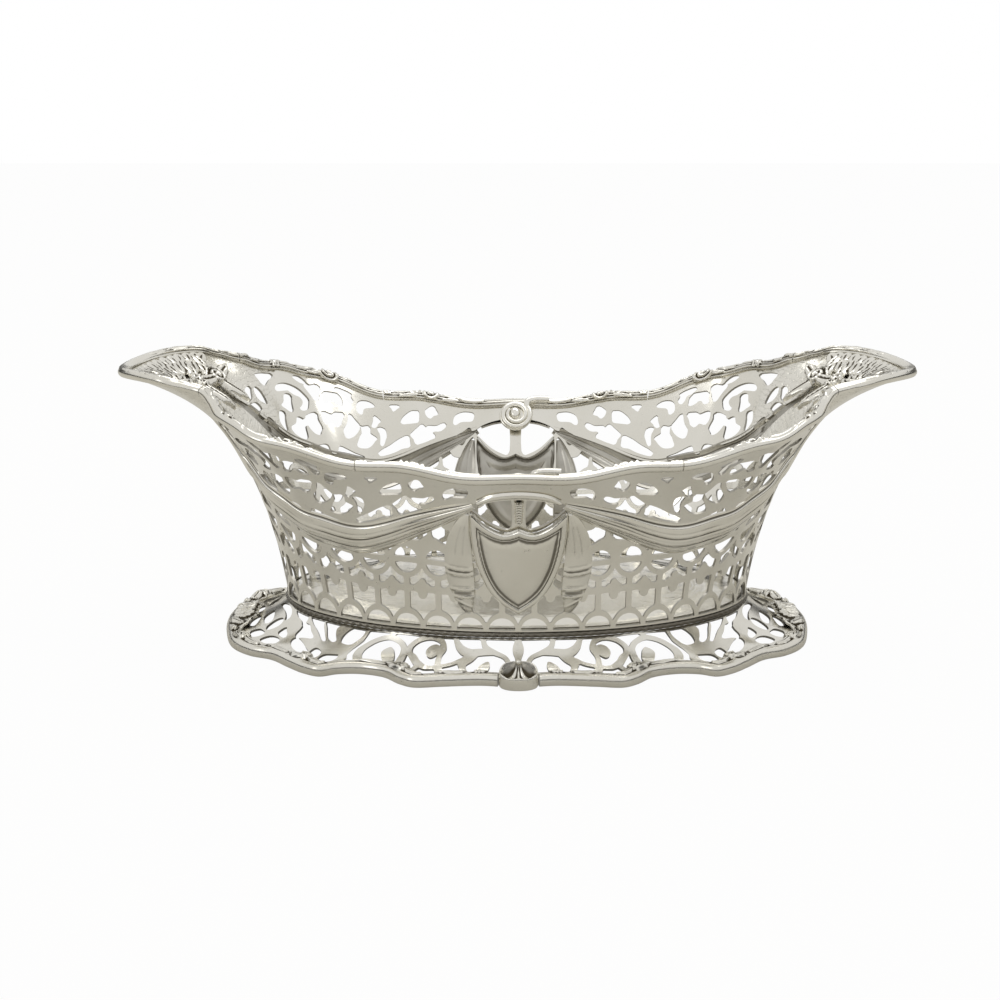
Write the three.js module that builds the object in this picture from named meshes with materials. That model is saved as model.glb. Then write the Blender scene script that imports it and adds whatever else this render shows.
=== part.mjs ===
// A pierced silver basket on a spreading foot, with swags, shields and two leaf-shaped handles.
// Millimetres, +Z up. The basket is long in X, its front faces -Y, and it stands on Z = 0.
// One quarter of the basket is described and mirrored: a place on it is given as (a, v), where a runs
// from 0 at the middle of the long side to 1 at the end, and v from 0 at the collar to 1 at the rim.

import * as THREE from 'three';
import { mergeVertices } from 'three/addons/utils/BufferGeometryUtils.js';

// Driving dimensions of the bowl
const RIM_LENGTH = 296; // over the middle of the rim wire, handles included
const RIM_WIDTH = 158; // at the shoulders, over the middle of the rim wire
const SIDE_HEIGHT = 75; // middle of the rim wire above the table, at the middle of a side
const HANDLE_HEIGHT = 103; // the same at the top of a handle
const COLLAR_LENGTH = 176;
const COLLAR_WIDTH = 111;
const COLLAR_HEIGHT = 15.2; // where the bowl wall stands on the collar
const SHOULDER_LINE = 236; // length over the ends of the bowl where they turn out into the handles
const SHEET = 0.9; // wall, floor and foot are cut from this sheet
const CLEARANCE = 0.3; // between pieces that are soldered together
const RIM_SEAT = 0.5; // between the wall's top edge and the rim, round the bends of the neck
const SEAT = 0.75; // applied work stands off the curved wall by this, filled with solder in life

// Driving dimensions of the foot
const FOOT_LENGTH = 223;
const FOOT_WIDTH = 157;
const FOOT_BORDER_WIDTH = 4.5;
const FOOT_BORDER_HEIGHT = 4.4;
const BORDER_ROUND = 0.9; // how far the border and the shells swell over their lower edge
const FOOT_END_LEAF = 6.5; // how much wider the border's leaf spreads at the foot's ends
const FOOT_END_RISE = 2.6; // how much higher the edge of that leaf curls up
const COLLAR_DEPTH = 1.9; // height of the collar wire
const COLLAR_REACH = 1.5; // how far the collar stands out of the wall
const COLLAR_LEDGE = 3; // how far it reaches in under the floor

// Driving dimensions of the borders and applied pieces
const RIM_WIRE = 4.2; // thickness of the cast rim
const SWAG_RELIEF = 3.2;
const SHIELD_RELIEF = 2.6;
const SHIELD_BORDER = 0.8; // how far the shield's edge stands over its field
const TAIL_RELIEF = 1.8;
const BAND_RELIEF = 1.6;
const LEAF_RELIEF = 2.4; // foliage on the handles
const VOLUTE_RADIUS = 7.4;
const VOLUTE_BALL = 2.6;
const VOLUTE_HEIGHT = 3.9;
const SHELL_RELIEF = 3.4;

// How the wall rises: it flares more at the middle of a side, and lips out only near the rim
const SIDE_FLARE = 2.3;
const END_FLARE = 1.5;
const LIP = 8;
const FOOT_SPREAD = 1.7; // the same for the foot's sheet

// Sizes of the flat patterns that are bent round the wall and the foot, beside the collar's quarter
const WALL_PATTERN = { wide: 1.05, rise: 66 };
const FOOT_PATTERN = { wide: 1.15, rise: 23 };

// Counts
const COLUMNS = 10; // lattice columns in a quarter
const RIM_STEPS = { middle: 6, shoulder: 10, handle: 9 }; // steps of the rim's sections in a quarter
const FOOT_STEPS = { shell: 3, border: 17 }; // steps of the foot's border in a quarter
const COLLAR_STEPS = 10;

// Small vector helpers
const point = (x, y) => new THREE.Vector2(x, y);
const mix = (from, to, share) => from * (1 - share) + to * share;
const clamp01 = (value) => Math.min(Math.max(value, 0), 1);

// The rim line of a quarter: shares of half the length, half the width and the rise to the handle
const RIM_LINE = [
  [0, 0.95, 0],
  [0.133, 0.938, 0.02],
  [0.252, 0.917, 0.105],
  [0.378, 0.91, 0.215],
  [0.497, 0.945, 0.35],
  [0.584, 0.94, 0.49],
  [0.65, 0.85, 0.595],
  [0.698, 0.735, 0.685],
  [0.726, 0.605, 0.775],
  [0.756, 0.52, 0.86],
  [0.802, 0.495, 0.925],
  [0.855, 0.485, 0.985],
  [0.912, 0.396, 1],
  [0.962, 0.254, 0.974],
  [0.991, 0.118, 0.94],
  [1, 0, 0.925],
];
const NECK = 9; // place in the list where the handle springs from the bowl

// The foot outline of a quarter: shares of half the foot's length and width
const FOOT_LINE = [
  [0, 0.93],
  [0.12, 0.905],
  [0.24, 0.918],
  [0.33, 0.93],
  [0.375, 0.885],
  [0.43, 0.79],
  [0.51, 0.743],
  [0.58, 0.747],
  [0.635, 0.78],
  [0.69, 0.735],
  [0.745, 0.65],
  [0.81, 0.54],
  [0.885, 0.48],
  [0.95, 0.37],
  [0.985, 0.19],
  [1, 0],
];

// A closed curve through a quarter's points and their mirror images, read by its share of length
function mirroredCurve(quarter) {
  const back = quarter.slice(1, -1).reverse();
  const loop = [
    ...quarter,
    ...back.map((p) => new THREE.Vector3(p.x, -p.y, p.z)),
    new THREE.Vector3(quarter[0].x, -quarter[0].y, quarter[0].z),
    ...quarter.slice(1).map((p) => new THREE.Vector3(-p.x, -p.y, p.z)),
    ...back.map((p) => new THREE.Vector3(-p.x, p.y, p.z)),
  ];
  const curve = new THREE.CatmullRomCurve3(loop, true);
  curve.arcLengthDivisions = loop.length * 40;
  return curve;
}

const rimCurve = mirroredCurve(RIM_LINE.map(([x, y, z]) => new THREE.Vector3(
  (x * RIM_LENGTH) / 2,
  (-y * RIM_WIDTH) / 2,
  mix(SIDE_HEIGHT, HANDLE_HEIGHT, z),
)));
const footCurve = mirroredCurve(FOOT_LINE.map(([x, y]) => new THREE.Vector3(
  (x * FOOT_LENGTH) / 2,
  (-y * FOOT_WIDTH) / 2,
  0,
)));
const collarCurve = new THREE.EllipseCurve(
  0, 0, COLLAR_LENGTH / 2, COLLAR_WIDTH / 2, -Math.PI / 2, (3 * Math.PI) / 2,
);
collarCurve.arcLengthDivisions = 1600;

const rimLength = rimCurve.getLength() / 4;
const collarLength = collarCurve.getLength() / 4;
const neckShare = (() => {
  const lengths = rimCurve.getLengths(rimCurve.points.length * 40);
  return lengths[NECK * 40] / rimLength;
})();
const neck = rimCurve.getPointAt(neckShare / 4);

// The cast rim dips between its knots; each span gives where it ends on the rim and how deep it dips
const RIM_SPANS = [
  [0.2, 0.8],
  [0.41, 2.2],
  [0.53, 1],
  [neckShare, 0.8],
];

function rimDip(share) {
  let start = 0;
  for (const [end, depth] of RIM_SPANS) {
    if (share < end) {
      return depth * Math.sin((Math.PI * (share - start)) / (end - start)) ** 2;
    }
    start = end;
  }
  return 0;
}

// Share of the rim that belongs to a place a on the collar: the end of the bowl fans out to the handle
const SIDE_STRETCH = 1.04;
const FAN_START = 0.35;
const FAN = 1.7;
function rimShare(a) {
  const straight = (SIDE_STRETCH * collarLength) / rimLength;
  const fan = clamp01((a - FAN_START) / (1 - FAN_START)) ** FAN;
  return straight * a + (1 - straight) * fan;
}

// The place a whose share of the rim is the given one, found by halving
function placeOnRim(share) {
  if (share === 0 || share === 1) return share;
  let low = 0;
  let high = 1;
  for (let step = 0; step < 40; step += 1) {
    const middle = (low + high) / 2;
    if (rimShare(middle) < share) low = middle;
    else high = middle;
  }
  return (low + high) / 2;
}

// Where the rim's sections meet, and the stations that the wall's top edge and the rim share
const RIM_JOINT = 0.29;
const evenly = (from, to, steps) => Array.from({ length: steps + 1 }, (_, i) => mix(from, to, i / steps));
const RIM_SECTIONS = {
  middle: evenly(0, RIM_JOINT, RIM_STEPS.middle),
  shoulder: evenly(RIM_JOINT, neckShare, RIM_STEPS.shoulder),
  handle: evenly(neckShare, 1, RIM_STEPS.handle),
};

// A place beyond an end of the quarter is its mirror image
function folded(a, place) {
  if (a < 0) {
    const p = place(-a);
    return new THREE.Vector3(-p.x, p.y, p.z);
  }
  if (a > 1) {
    const p = place(2 - a);
    return new THREE.Vector3(p.x, -p.y, p.z);
  }
  return place(a);
}

// The outer face of the bowl wall
function wallPoint(a, v) {
  return folded(a, (share) => {
    const along = rimShare(share);
    const foot = collarCurve.getPointAt(share / 4);
    const rim = rimCurve.getPointAt(along / 4);
    const past = clamp01((along - neckShare) / (1 - neckShare));
    const shoulder = along < neckShare
      ? point(rim.x, rim.y)
      : point(SHOULDER_LINE / 2 - (SHOULDER_LINE / 2 - neck.x) * (1 - past) ** 2, neck.y * (1 - past));
    const flare = v ** mix(SIDE_FLARE, END_FLARE, share);
    const lip = v ** LIP;
    return new THREE.Vector3(
      foot.x + (shoulder.x - foot.x) * flare + (rim.x - shoulder.x) * lip,
      foot.y + (shoulder.y - foot.y) * flare + (rim.y - shoulder.y) * lip,
      mix(COLLAR_HEIGHT, rim.z - rimDip(along), v),
    );
  });
}

// Directions at a place of the wall: along it, up it, and out of it
function wallFrame(a, v) {
  const step = 0.002;
  const low = Math.max(v - step, 0);
  const along = wallPoint(a + step, v).sub(wallPoint(a - step, v)).normalize();
  const rise = wallPoint(a, v + step).sub(wallPoint(a, low));
  const scale = rise.length() / (v + step - low);
  const up = rise.normalize();
  const out = new THREE.Vector3().crossVectors(along, up).normalize();
  return { along, up, out, scale };
}

// A point lifted off the outer face of the wall, or behind it where the lift is negative
function onWall(a, v, lift) {
  return wallPoint(a, v).addScaledVector(wallFrame(a, v).out, lift);
}

// The foot sheet: b runs along it as a does on the wall, w from the collar to the border
const FLANGE_TOP = COLLAR_HEIGHT - 2 * CLEARANCE - COLLAR_DEPTH;
const FLANGE_BOTTOM = 3.4;

// Where the shell in the middle of a side gives way to the border, and the stations of both
const SHELL_HALF = 0.047;
const FOOT_STATIONS = {
  shell: evenly(0, SHELL_HALF, FOOT_STEPS.shell),
  border: evenly(SHELL_HALF, 1, FOOT_STEPS.border),
};

function footFrame(b) {
  const at = (share) => folded(share, (s) => footCurve.getPointAt(s / 4));
  const along = at(b + 0.004).sub(at(b - 0.004)).normalize();
  const out = new THREE.Vector3(along.y, -along.x, 0);
  return { place: at(b), along, out };
}

function flangePoint(b, w) {
  const { place, out } = footFrame(b);
  const edge = place.addScaledVector(out, -FOOT_BORDER_WIDTH - CLEARANCE);
  const top = folded(b, (s) => {
    const p = collarCurve.getPointAt(s / 4);
    return new THREE.Vector3(p.x, p.y, 0);
  });
  const height = mix(FLANGE_BOTTOM, FLANGE_TOP, (1 - w) ** FOOT_SPREAD);
  return new THREE.Vector3(mix(top.x, edge.x, w), mix(top.y, edge.y, w), height);
}

function onFlange(b, w, lift) {
  const step = 0.004;
  const along = flangePoint(b + step, w).sub(flangePoint(b - step, w));
  const outward = flangePoint(b, Math.min(w + step, 1)).sub(flangePoint(b, Math.max(w - step, 0)));
  const out = new THREE.Vector3().crossVectors(outward, along).normalize();
  return flangePoint(b, w).addScaledVector(out, lift);
}

// Constrained Delaunay triangulation of an outline with holes and loose inner points
function area2(p, q, r) {
  return (q.x - p.x) * (r.y - p.y) - (q.y - p.y) * (r.x - p.x);
}

function inCircle(a, b, c, d) {
  const rows = [a, b, c].map((p) => [p.x - d.x, p.y - d.y]);
  const [p, q, r] = rows.map(([x, y]) => [x, y, x * x + y * y]);
  return p[0] * (q[1] * r[2] - q[2] * r[1])
    - p[1] * (q[0] * r[2] - q[2] * r[0])
    + p[2] * (q[0] * r[1] - q[1] * r[0]);
}

function insertPoint(points, faces, candidate) {
  const index = faces.findIndex(([i, j, k]) => {
    const [p, q, r] = [points[i], points[j], points[k]];
    return area2(p, q, candidate) > 0 && area2(q, r, candidate) > 0 && area2(r, p, candidate) > 0;
  });
  if (index < 0) return;
  const [i, j, k] = faces[index];
  const added = points.push(candidate) - 1;
  faces.splice(index, 1, [i, j, added], [j, k, added], [k, i, added]);
}

const MOST_ROUNDS = 400;

function flipEdges(points, faces) {
  let flipped = true;
  let rounds = 0;
  while (flipped && rounds < MOST_ROUNDS) {
    flipped = false;
    rounds += 1;
    const owners = new Map();
    const touched = new Set();
    faces.forEach((face, index) => {
      face.forEach((from, side) => {
        owners.set(`${from}_${face[(side + 1) % 3]}`, [index, face[(side + 2) % 3]]);
      });
    });
    for (const [key, [index, apex]] of owners) {
      const [from, to] = key.split('_').map(Number);
      const other = owners.get(`${to}_${from}`);
      if (!other || touched.has(index) || touched.has(other[0])) continue;
      const far = other[1];
      const [p, q, r, s] = [points[from], points[to], points[apex], points[far]];
      const convex = area2(r, s, q) > 1e-9 && area2(s, r, p) > 1e-9;
      if (convex && inCircle(p, q, r, s) > 1e-7) {
        faces[index] = [apex, far, to];
        faces[other[0]] = [far, apex, from];
        touched.add(index);
        touched.add(other[0]);
        flipped = true;
      }
    }
  }
}

// Straight edges are drawn in by a hair before they are cut up, so that none of their points is lost
const DRAWN_IN = 1e-5;

function triangulate(outline, holes, loose = []) {
  const box = new THREE.Box2().setFromPoints(outline);
  const size = box.getSize(point(0, 0));
  const drawIn = (p) => {
    const [x, y] = [p.x - box.min.x, p.y - box.min.y];
    return point(
      x + DRAWN_IN * (1 - (2 * x) / size.x) * y * (size.y - y),
      y + DRAWN_IN * (1 - (2 * y) / size.y) * x * (size.x - x),
    );
  };
  const points = [...outline, ...holes.flat()];
  const bent = points.map(drawIn);
  const rings = [outline.map(drawIn), ...holes.map((hole) => hole.map(drawIn))];
  const faces = THREE.ShapeUtils.triangulateShape(rings[0], rings.slice(1)).map(([i, j, k]) => (
    area2(bent[i], bent[j], bent[k]) > 0 ? [i, j, k] : [i, k, j]
  ));
  loose.forEach((candidate) => insertPoint(points, faces, candidate));
  flipEdges(points, faces);
  return { points, faces };
}

// A solid between two mappings of the same flat region; the open edges are closed by narrow faces
function sheetSolid(patches) {
  const positions = [];
  const known = new Map();
  const addVertex = (front, back) => {
    const key = [front.x, front.y, front.z].map((value) => Math.round(value * 1e4)).join('_');
    if (!known.has(key)) {
      known.set(key, positions.length / 6);
      positions.push(front.x, front.y, front.z, back.x, back.y, back.z);
    }
    return known.get(key);
  };
  const faces = [];
  for (const { region, front, back, mirrored } of patches) {
    const indices = region.points.map((p) => addVertex(front(p), back(p)));
    for (const [i, j, k] of region.faces) {
      const face = [indices[i], indices[j], indices[k]];
      faces.push(mirrored ? face.reverse() : face);
    }
  }
  const edges = new Set(faces.flatMap(([i, j, k]) => [`${i}_${j}`, `${j}_${k}`, `${k}_${i}`]));
  const index = [];
  for (const [i, j, k] of faces) {
    index.push(2 * i, 2 * j, 2 * k, 2 * i + 1, 2 * k + 1, 2 * j + 1);
  }
  for (const edge of edges) {
    const [i, j] = edge.split('_').map(Number);
    if (!edges.has(`${j}_${i}`)) {
      index.push(2 * i, 2 * i + 1, 2 * j, 2 * j, 2 * i + 1, 2 * j + 1);
    }
  }
  return solidGeometry(positions, index);
}

function solidGeometry(positions, index) {
  const geometry = new THREE.BufferGeometry();
  geometry.setAttribute('position', new THREE.Float32BufferAttribute(positions, 3));
  geometry.setIndex(index);
  geometry.computeVertexNormals();
  return geometry;
}

// A solid lofted through rings of as many points each, closed on itself or capped at its ends
function loftSolid(rings, closed = false) {
  const sides = rings[0].length;
  const positions = rings.flat().flatMap((p) => [p.x, p.y, p.z]);
  const index = [];
  const spans = closed ? rings.length : rings.length - 1;
  for (let ring = 0; ring < spans; ring += 1) {
    const next = (ring + 1) % rings.length;
    for (let side = 0; side < sides; side += 1) {
      const turn = (side + 1) % sides;
      const corner = [ring * sides + side, ring * sides + turn, next * sides + turn, next * sides + side];
      index.push(corner[0], corner[1], corner[2], corner[0], corner[2], corner[3]);
    }
  }
  if (!closed) {
    const last = (rings.length - 1) * sides;
    for (let side = 1; side < sides - 1; side += 1) {
      index.push(0, side + 1, side);
      index.push(last, last + side, last + side + 1);
    }
  }
  return solidGeometry(positions, index);
}

// The mirror image of a solid across the planes X = 0 and Y = 0
function mirroredSolid(geometry, xSign, ySign) {
  const copy = geometry.clone();
  copy.scale(xSign, ySign, 1);
  if (xSign * ySign < 0) {
    const index = Array.from(copy.index.array);
    for (let face = 0; face < index.length; face += 3) {
      [index[face + 1], index[face + 2]] = [index[face + 2], index[face + 1]];
    }
    copy.setIndex(index);
  }
  copy.computeVertexNormals();
  return copy;
}

// A grid of places over the unit square, as a region for a sheet solid
function gridRegion(columns, rows) {
  const points = [];
  const faces = [];
  for (let column = 0; column <= columns; column += 1) {
    for (let row = 0; row <= rows; row += 1) {
      points.push(point(column / columns, row / rows));
    }
  }
  for (let column = 0; column < columns; column += 1) {
    for (let row = 0; row < rows; row += 1) {
      const corner = column * (rows + 1) + row;
      const beside = corner + rows + 1;
      faces.push([corner, beside, beside + 1], [corner, beside + 1, corner + 1]);
    }
  }
  return { points, faces };
}

// Cut-outs. Each is a ring of corners [a, v, bulge]: the side that follows a corner bows outwards by
// its bulge, as a share of the side's length, or inwards where the bulge is negative.
const LEAST_BULGE = 0.12; // a side that bows less than this stays straight

function drawn([a, v], pattern = WALL_PATTERN) {
  return point(a * collarLength * pattern.wide, v * pattern.rise);
}

function undrawn(p, pattern = WALL_PATTERN) {
  return [p.x / (collarLength * pattern.wide), p.y / pattern.rise];
}

function cutOut(corners, pattern) {
  return corners.flatMap(([a, v, bulge], index) => {
    const from = drawn([a, v], pattern);
    const to = drawn(corners[(index + 1) % corners.length], pattern);
    if (Math.abs(bulge) < LEAST_BULGE) return [from];
    const side = to.clone().sub(from);
    const middle = from.clone().add(to).multiplyScalar(0.5);
    middle.add(point(side.y, -side.x).multiplyScalar(bulge));
    return [from, middle];
  });
}

// The lattice: rows of arches, barred windows with a knob, and rings with a bar across them
const PITCH = 1 / COLUMNS;
const BAR = 0.1 * PITCH; // half the width of an upright bar
const ARCH_BOTTOM = 0.016;
const ARCH_TOP = 0.088;
const BAND_BOTTOM = 0.224;
const BAND_TOP = 0.266;
const RING_MIDDLE = 0.42;
const RING_INNER = 0.082; // half the height of a ring's opening
const RING_OUTER = 0.112;

function archCut(column) {
  const middle = (column + 0.5) * PITCH;
  const half = 0.4 * PITCH;
  return [
    [middle - half, ARCH_BOTTOM, 0],
    [middle + half, ARCH_BOTTOM, 0],
    [middle + 0.8 * half, mix(ARCH_BOTTOM, ARCH_TOP, 0.62), 0],
    [middle, ARCH_TOP, 0],
    [middle - 0.8 * half, mix(ARCH_BOTTOM, ARCH_TOP, 0.62), 0],
  ];
}

// The windows stand between two bars, so they are centred where two columns meet
function lowerWindow(gap) {
  const middle = gap * PITCH;
  const half = 0.5 * PITCH - BAR;
  return [
    [middle, ARCH_TOP + 0.005, 0],
    [middle + half, ARCH_TOP + 0.045, 0],
    [middle + half, BAND_BOTTOM, 0],
    [middle, BAND_BOTTOM - 0.035, 0],
    [middle - half, BAND_BOTTOM, 0],
    [middle - half, ARCH_TOP + 0.045, 0],
  ];
}

function upperWindow(gap) {
  const middle = gap * PITCH;
  const half = 0.5 * PITCH - BAR;
  return [
    [middle, BAND_TOP + 0.032, 0],
    [middle + 0.28 * half, BAND_TOP + 0.003, 0],
    [middle + half, BAND_TOP, 0],
    [middle + half, RING_MIDDLE - RING_OUTER - 0.005, 0],
    [middle, RING_MIDDLE - 0.055, 0],
    [middle - half, RING_MIDDLE - RING_OUTER - 0.005, 0],
    [middle - half, BAND_TOP, 0],
    [middle - 0.28 * half, BAND_TOP + 0.003, 0],
  ];
}

function ringCut(column, side) {
  const middle = (column + 0.5) * PITCH;
  const half = 0.37 * PITCH;
  const near = RING_MIDDLE + side * 0.02;
  const far = RING_MIDDLE + side * RING_INNER;
  const corners = [
    [middle - half, near, 0],
    [middle - 0.66 * half, mix(near, far, 0.76), 0],
    [middle, far, 0],
    [middle + 0.66 * half, mix(near, far, 0.76), 0],
    [middle + half, near, 0],
  ];
  return side < 0 ? corners : corners.reverse();
}

// Half of a window that stands on the end line of the quarter, as corners up that line
function halfWindow(corners, side) {
  const top = corners.findIndex(([a], i) => i > 0 && a === corners[0][0]);
  return side > 0 ? corners.slice(0, top + 1) : [...corners.slice(top), corners[0]].reverse();
}

// The scroll panel between a swag and the rim, from the shield to the handle
const SCROLL_CUTS = [
  // between the shield's top and the band, beside the strap, and an eyelet over the swag's root
  [[0.024, 0.825, 0], [0.028, 0.706, 0], [0.052, 0.693, 0], [0.088, 0.745, 0], [0.108, 0.794, 0], [0.09, 0.835, 0]],
  [[0.145, 0.885, 0], [0.2, 0.86, 0.1], [0.21, 0.885, 0], [0.185, 0.91, 0], [0.15, 0.915, 0]],
  [[0.185, 0.705, 0], [0.203, 0.73, 0], [0.168, 0.8, 0]],
  // first scroll, with its bulb
  [[0.236, 0.835, 0.3], [0.324, 0.832, -0.16]],
  [[0.28, 0.87, 0.1], [0.322, 0.88, 0.14], [0.3, 0.922, 0], [0.275, 0.91, 0]],
  // spandrels round the hanging curl
  [[0.3, 0.755, 0], [0.355, 0.708, 0.08], [0.372, 0.75, -0.06], [0.345, 0.775, -0.08], [0.333, 0.808, -0.1]],
  [[0.346, 0.815, 0], [0.4, 0.8, 0.12], [0.383, 0.868, 0], [0.35, 0.88, 0]],
  [[0.388, 0.685, 0], [0.47, 0.605, 0], [0.486, 0.605, -0.1], [0.4, 0.715, 0.1], [0.38, 0.728, 0]],
  // second scroll and its bulb
  [[0.446, 0.72, 0.1], [0.468, 0.655, -0.1], [0.46, 0.72, -0.08], [0.468, 0.775, 0], [0.455, 0.787, 0.1]],
  [[0.484, 0.68, 0.08], [0.532, 0.612, -0.12], [0.513, 0.745, 0], [0.496, 0.75, -0.14]],
  [[0.458, 0.82, 0.05], [0.482, 0.775, -0.1], [0.476, 0.862, 0]],
  [[0.496, 0.83, 0.1], [0.522, 0.852, 0.16], [0.49, 0.885, 0]],
  // the lily in its oval
  [[0.521, 0.755, 0.08], [0.556, 0.662, -0.1], [0.535, 0.815, 0.08]],
  [[0.562, 0.757, 0], [0.582, 0.742, 0], [0.599, 0.757, 0], [0.602, 0.82, -0.12], [0.578, 0.79, -0.12],
    [0.554, 0.82, 0]],
  [[0.552, 0.885, 0.05], [0.598, 0.885, 0], [0.592, 0.922, 0.1], [0.56, 0.922, 0]],
  [[0.612, 0.7, 0.08], [0.63, 0.673, 0.08], [0.645, 0.715, 0], [0.64, 0.775, -0.06], [0.612, 0.82, 0]],
  [[0.515, 0.585, 0], [0.582, 0.583, 0], [0.576, 0.628, -0.1]],
  [[0.605, 0.583, 0], [0.655, 0.593, 0.06], [0.69, 0.632, -0.06], [0.612, 0.637, 0]],
  // third scroll
  [[0.632, 0.85, 0.12], [0.652, 0.795, -0.16], [0.655, 0.885, -0.14], [0.685, 0.89, 0.16], [0.645, 0.912, 0.1]],
  [[0.67, 0.805, 0.1], [0.686, 0.795, 0], [0.678, 0.865, 0.1]],
  [[0.656, 0.673, 0.1], [0.69, 0.705, 0], [0.672, 0.76, 0], [0.651, 0.765, 0]],
  [[0.705, 0.69, 0.08], [0.718, 0.735, 0.08], [0.703, 0.79, 0], [0.692, 0.785, -0.06]],
  // leaves that close the panel towards the handle
  [[0.706, 0.9, 0], [0.722, 0.935, 0], [0.69, 0.935, 0]],
  [[0.736, 0.825, 0.14], [0.75, 0.9, 0.14]],
  [[0.762, 0.89, 0.16], [0.812, 0.82, -0.04]],
  [[0.758, 0.8, -0.06], [0.786, 0.757, -0.06], [0.81, 0.79, -0.06], [0.77, 0.825, -0.06]],
  [[0.737, 0.69, 0], [0.775, 0.74, 0], [0.758, 0.765, 0]],
  // windows over the rings, beside the shield's tail
  [[0.197, 0.55, -0.1], [0.24, 0.575, 0], [0.24, 0.64, 0], [0.205, 0.615, 0]],
  [[0.262, 0.575, -0.1], [0.302, 0.525, 0], [0.325, 0.548, 0], [0.264, 0.635, 0]],
];

// The wall hides behind the shield and its tails, so the lattice starts beyond them
const FIRST_OPEN_COLUMN = 2;

function wallRegion() {
  const holes = SCROLL_CUTS.map((corners) => cutOut(corners));
  for (let column = 0; column < COLUMNS; column += 1) {
    holes.push(cutOut(archCut(column)));
    if (column > 0) holes.push(cutOut(lowerWindow(column)));
    if (column > FIRST_OPEN_COLUMN) holes.push(cutOut(upperWindow(column)));
    if (column >= FIRST_OPEN_COLUMN) {
      holes.push(cutOut(ringCut(column, -1)), cutOut(ringCut(column, 1)));
    }
  }
  const rimStations = [...new Set(Object.values(RIM_SECTIONS).flat())].map(placeOnRim);
  const outline = [
    ...Array.from({ length: COLLAR_STEPS + 1 }, (_, i) => drawn([i / COLLAR_STEPS, 0])),
    ...halfWindow(lowerWindow(COLUMNS), -1).map((place) => drawn(place)),
    ...halfWindow(upperWindow(COLUMNS), -1).map((place) => drawn(place)),
    drawn([1, 0.6]),
    drawn([1, 0.8]),
    ...rimStations.reverse().map((a) => drawn([a, wallTop(a)])),
    drawn([0, 0.72]),
    drawn([0, 0.5]),
    ...halfWindow(lowerWindow(0), 1).reverse().map((place) => drawn(place)),
  ];
  return triangulate(outline, holes, loosePoints([...outline, ...holes.flat()]));
}

// The wall stops just under the rim wire
function wallTop(a) {
  return 1 - (RIM_WIRE / 2 + RIM_SEAT) / wallFrame(a, 1).scale;
}

// Extra points where the sheet is left whole, so that its faces follow the curve of the wall
const LOOSE_SPACING = 8.5;
function loosePoints(taken) {
  const found = [];
  for (const a of evenly(0.03, 0.98, 21)) {
    for (const v of evenly(0.06, 0.91, 10)) {
      const candidate = drawn([a, v]);
      if ([...taken, ...found].every((p) => p.distanceTo(candidate) > LOOSE_SPACING)) found.push(candidate);
    }
  }
  return found;
}

const QUARTERS = [
  { xSign: 1, ySign: 1, name: 'front_right' },
  { xSign: -1, ySign: 1, name: 'front_left' },
  { xSign: 1, ySign: -1, name: 'back_right' },
  { xSign: -1, ySign: -1, name: 'back_left' },
];

// The four mirrored patches of a sheet that goes all the way round; its front faces the way that
// the sheet is drawn, or the other way when it is drawn from below
function allRound(region, place, fromBelow = false) {
  return QUARTERS.map(({ xSign, ySign }) => {
    const turned = (p) => new THREE.Vector3(p.x * xSign, p.y * ySign, p.z);
    return {
      region,
      front: (p) => turned(place(p, 0)),
      back: (p) => turned(place(p, -SHEET)),
      mirrored: (xSign * ySign < 0) !== fromBelow,
    };
  });
}

function bowlWall() {
  return sheetSolid(allRound(wallRegion(), (p, lift) => onWall(...undrawn(p), lift)));
}

// The plain floor sits inside the wall, on the ledge of the collar
const FLOOR_DOME = 1.2; // the middle of the floor is sprung up by this
const FLOOR_STEP = [0.82, 0.96]; // where it rises, as shares of the way out

function collarPoint(a, inset) {
  const p = collarCurve.getPointAt(a / 4);
  const q = collarCurve.getPointAt(Math.min(a / 4 + 0.001, 1));
  const r = collarCurve.getPointAt(Math.max(a / 4 - 0.001, 0));
  const along = a === 0 ? point(1, 0) : point(q.x - r.x, q.y - r.y).normalize();
  return point(p.x - along.y * inset, p.y + along.x * inset);
}

function bowlFloor() {
  const stations = 4 * COLLAR_STEPS;
  const inset = SHEET + CLEARANCE;
  const outline = Array.from({ length: stations }, (_, i) => collarPoint((4 * i) / stations, inset));
  const rings = [0.86, 0.4].map((share) => outline
    .filter((_, i) => i % 4 === 0)
    .map((p) => p.clone().multiplyScalar(share)));
  const region = triangulate(outline, [], rings.flat());
  const height = (p) => {
    const radius = Math.hypot(p.x / (COLLAR_LENGTH / 2), p.y / (COLLAR_WIDTH / 2));
    return COLLAR_HEIGHT + FLOOR_DOME * (1 - THREE.MathUtils.smoothstep(radius, ...FLOOR_STEP));
  };
  return sheetSolid([{
    region,
    front: (p) => new THREE.Vector3(p.x, p.y, height(p) + SHEET),
    back: (p) => new THREE.Vector3(p.x, p.y, height(p)),
    mirrored: false,
  }]);
}

// The collar wire between the bowl and the foot, with a ledge inside it
function collar() {
  const stations = 4 * COLLAR_STEPS;
  const top = COLLAR_HEIGHT - CLEARANCE;
  const middle = top - COLLAR_DEPTH / 2;
  const section = [
    [-COLLAR_LEDGE, top],
    [COLLAR_REACH * 0.35, top],
    [COLLAR_REACH, middle],
    [COLLAR_REACH * 0.35, top - COLLAR_DEPTH],
    [-0.5 * COLLAR_LEDGE, top - COLLAR_DEPTH],
  ];
  const rings = Array.from({ length: stations }, (_, i) => section.map(([reach, height]) => {
    const p = collarPoint((4 * i) / stations, -reach);
    return new THREE.Vector3(p.x, p.y, height);
  }));
  return loftSolid(rings, true);
}

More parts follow.
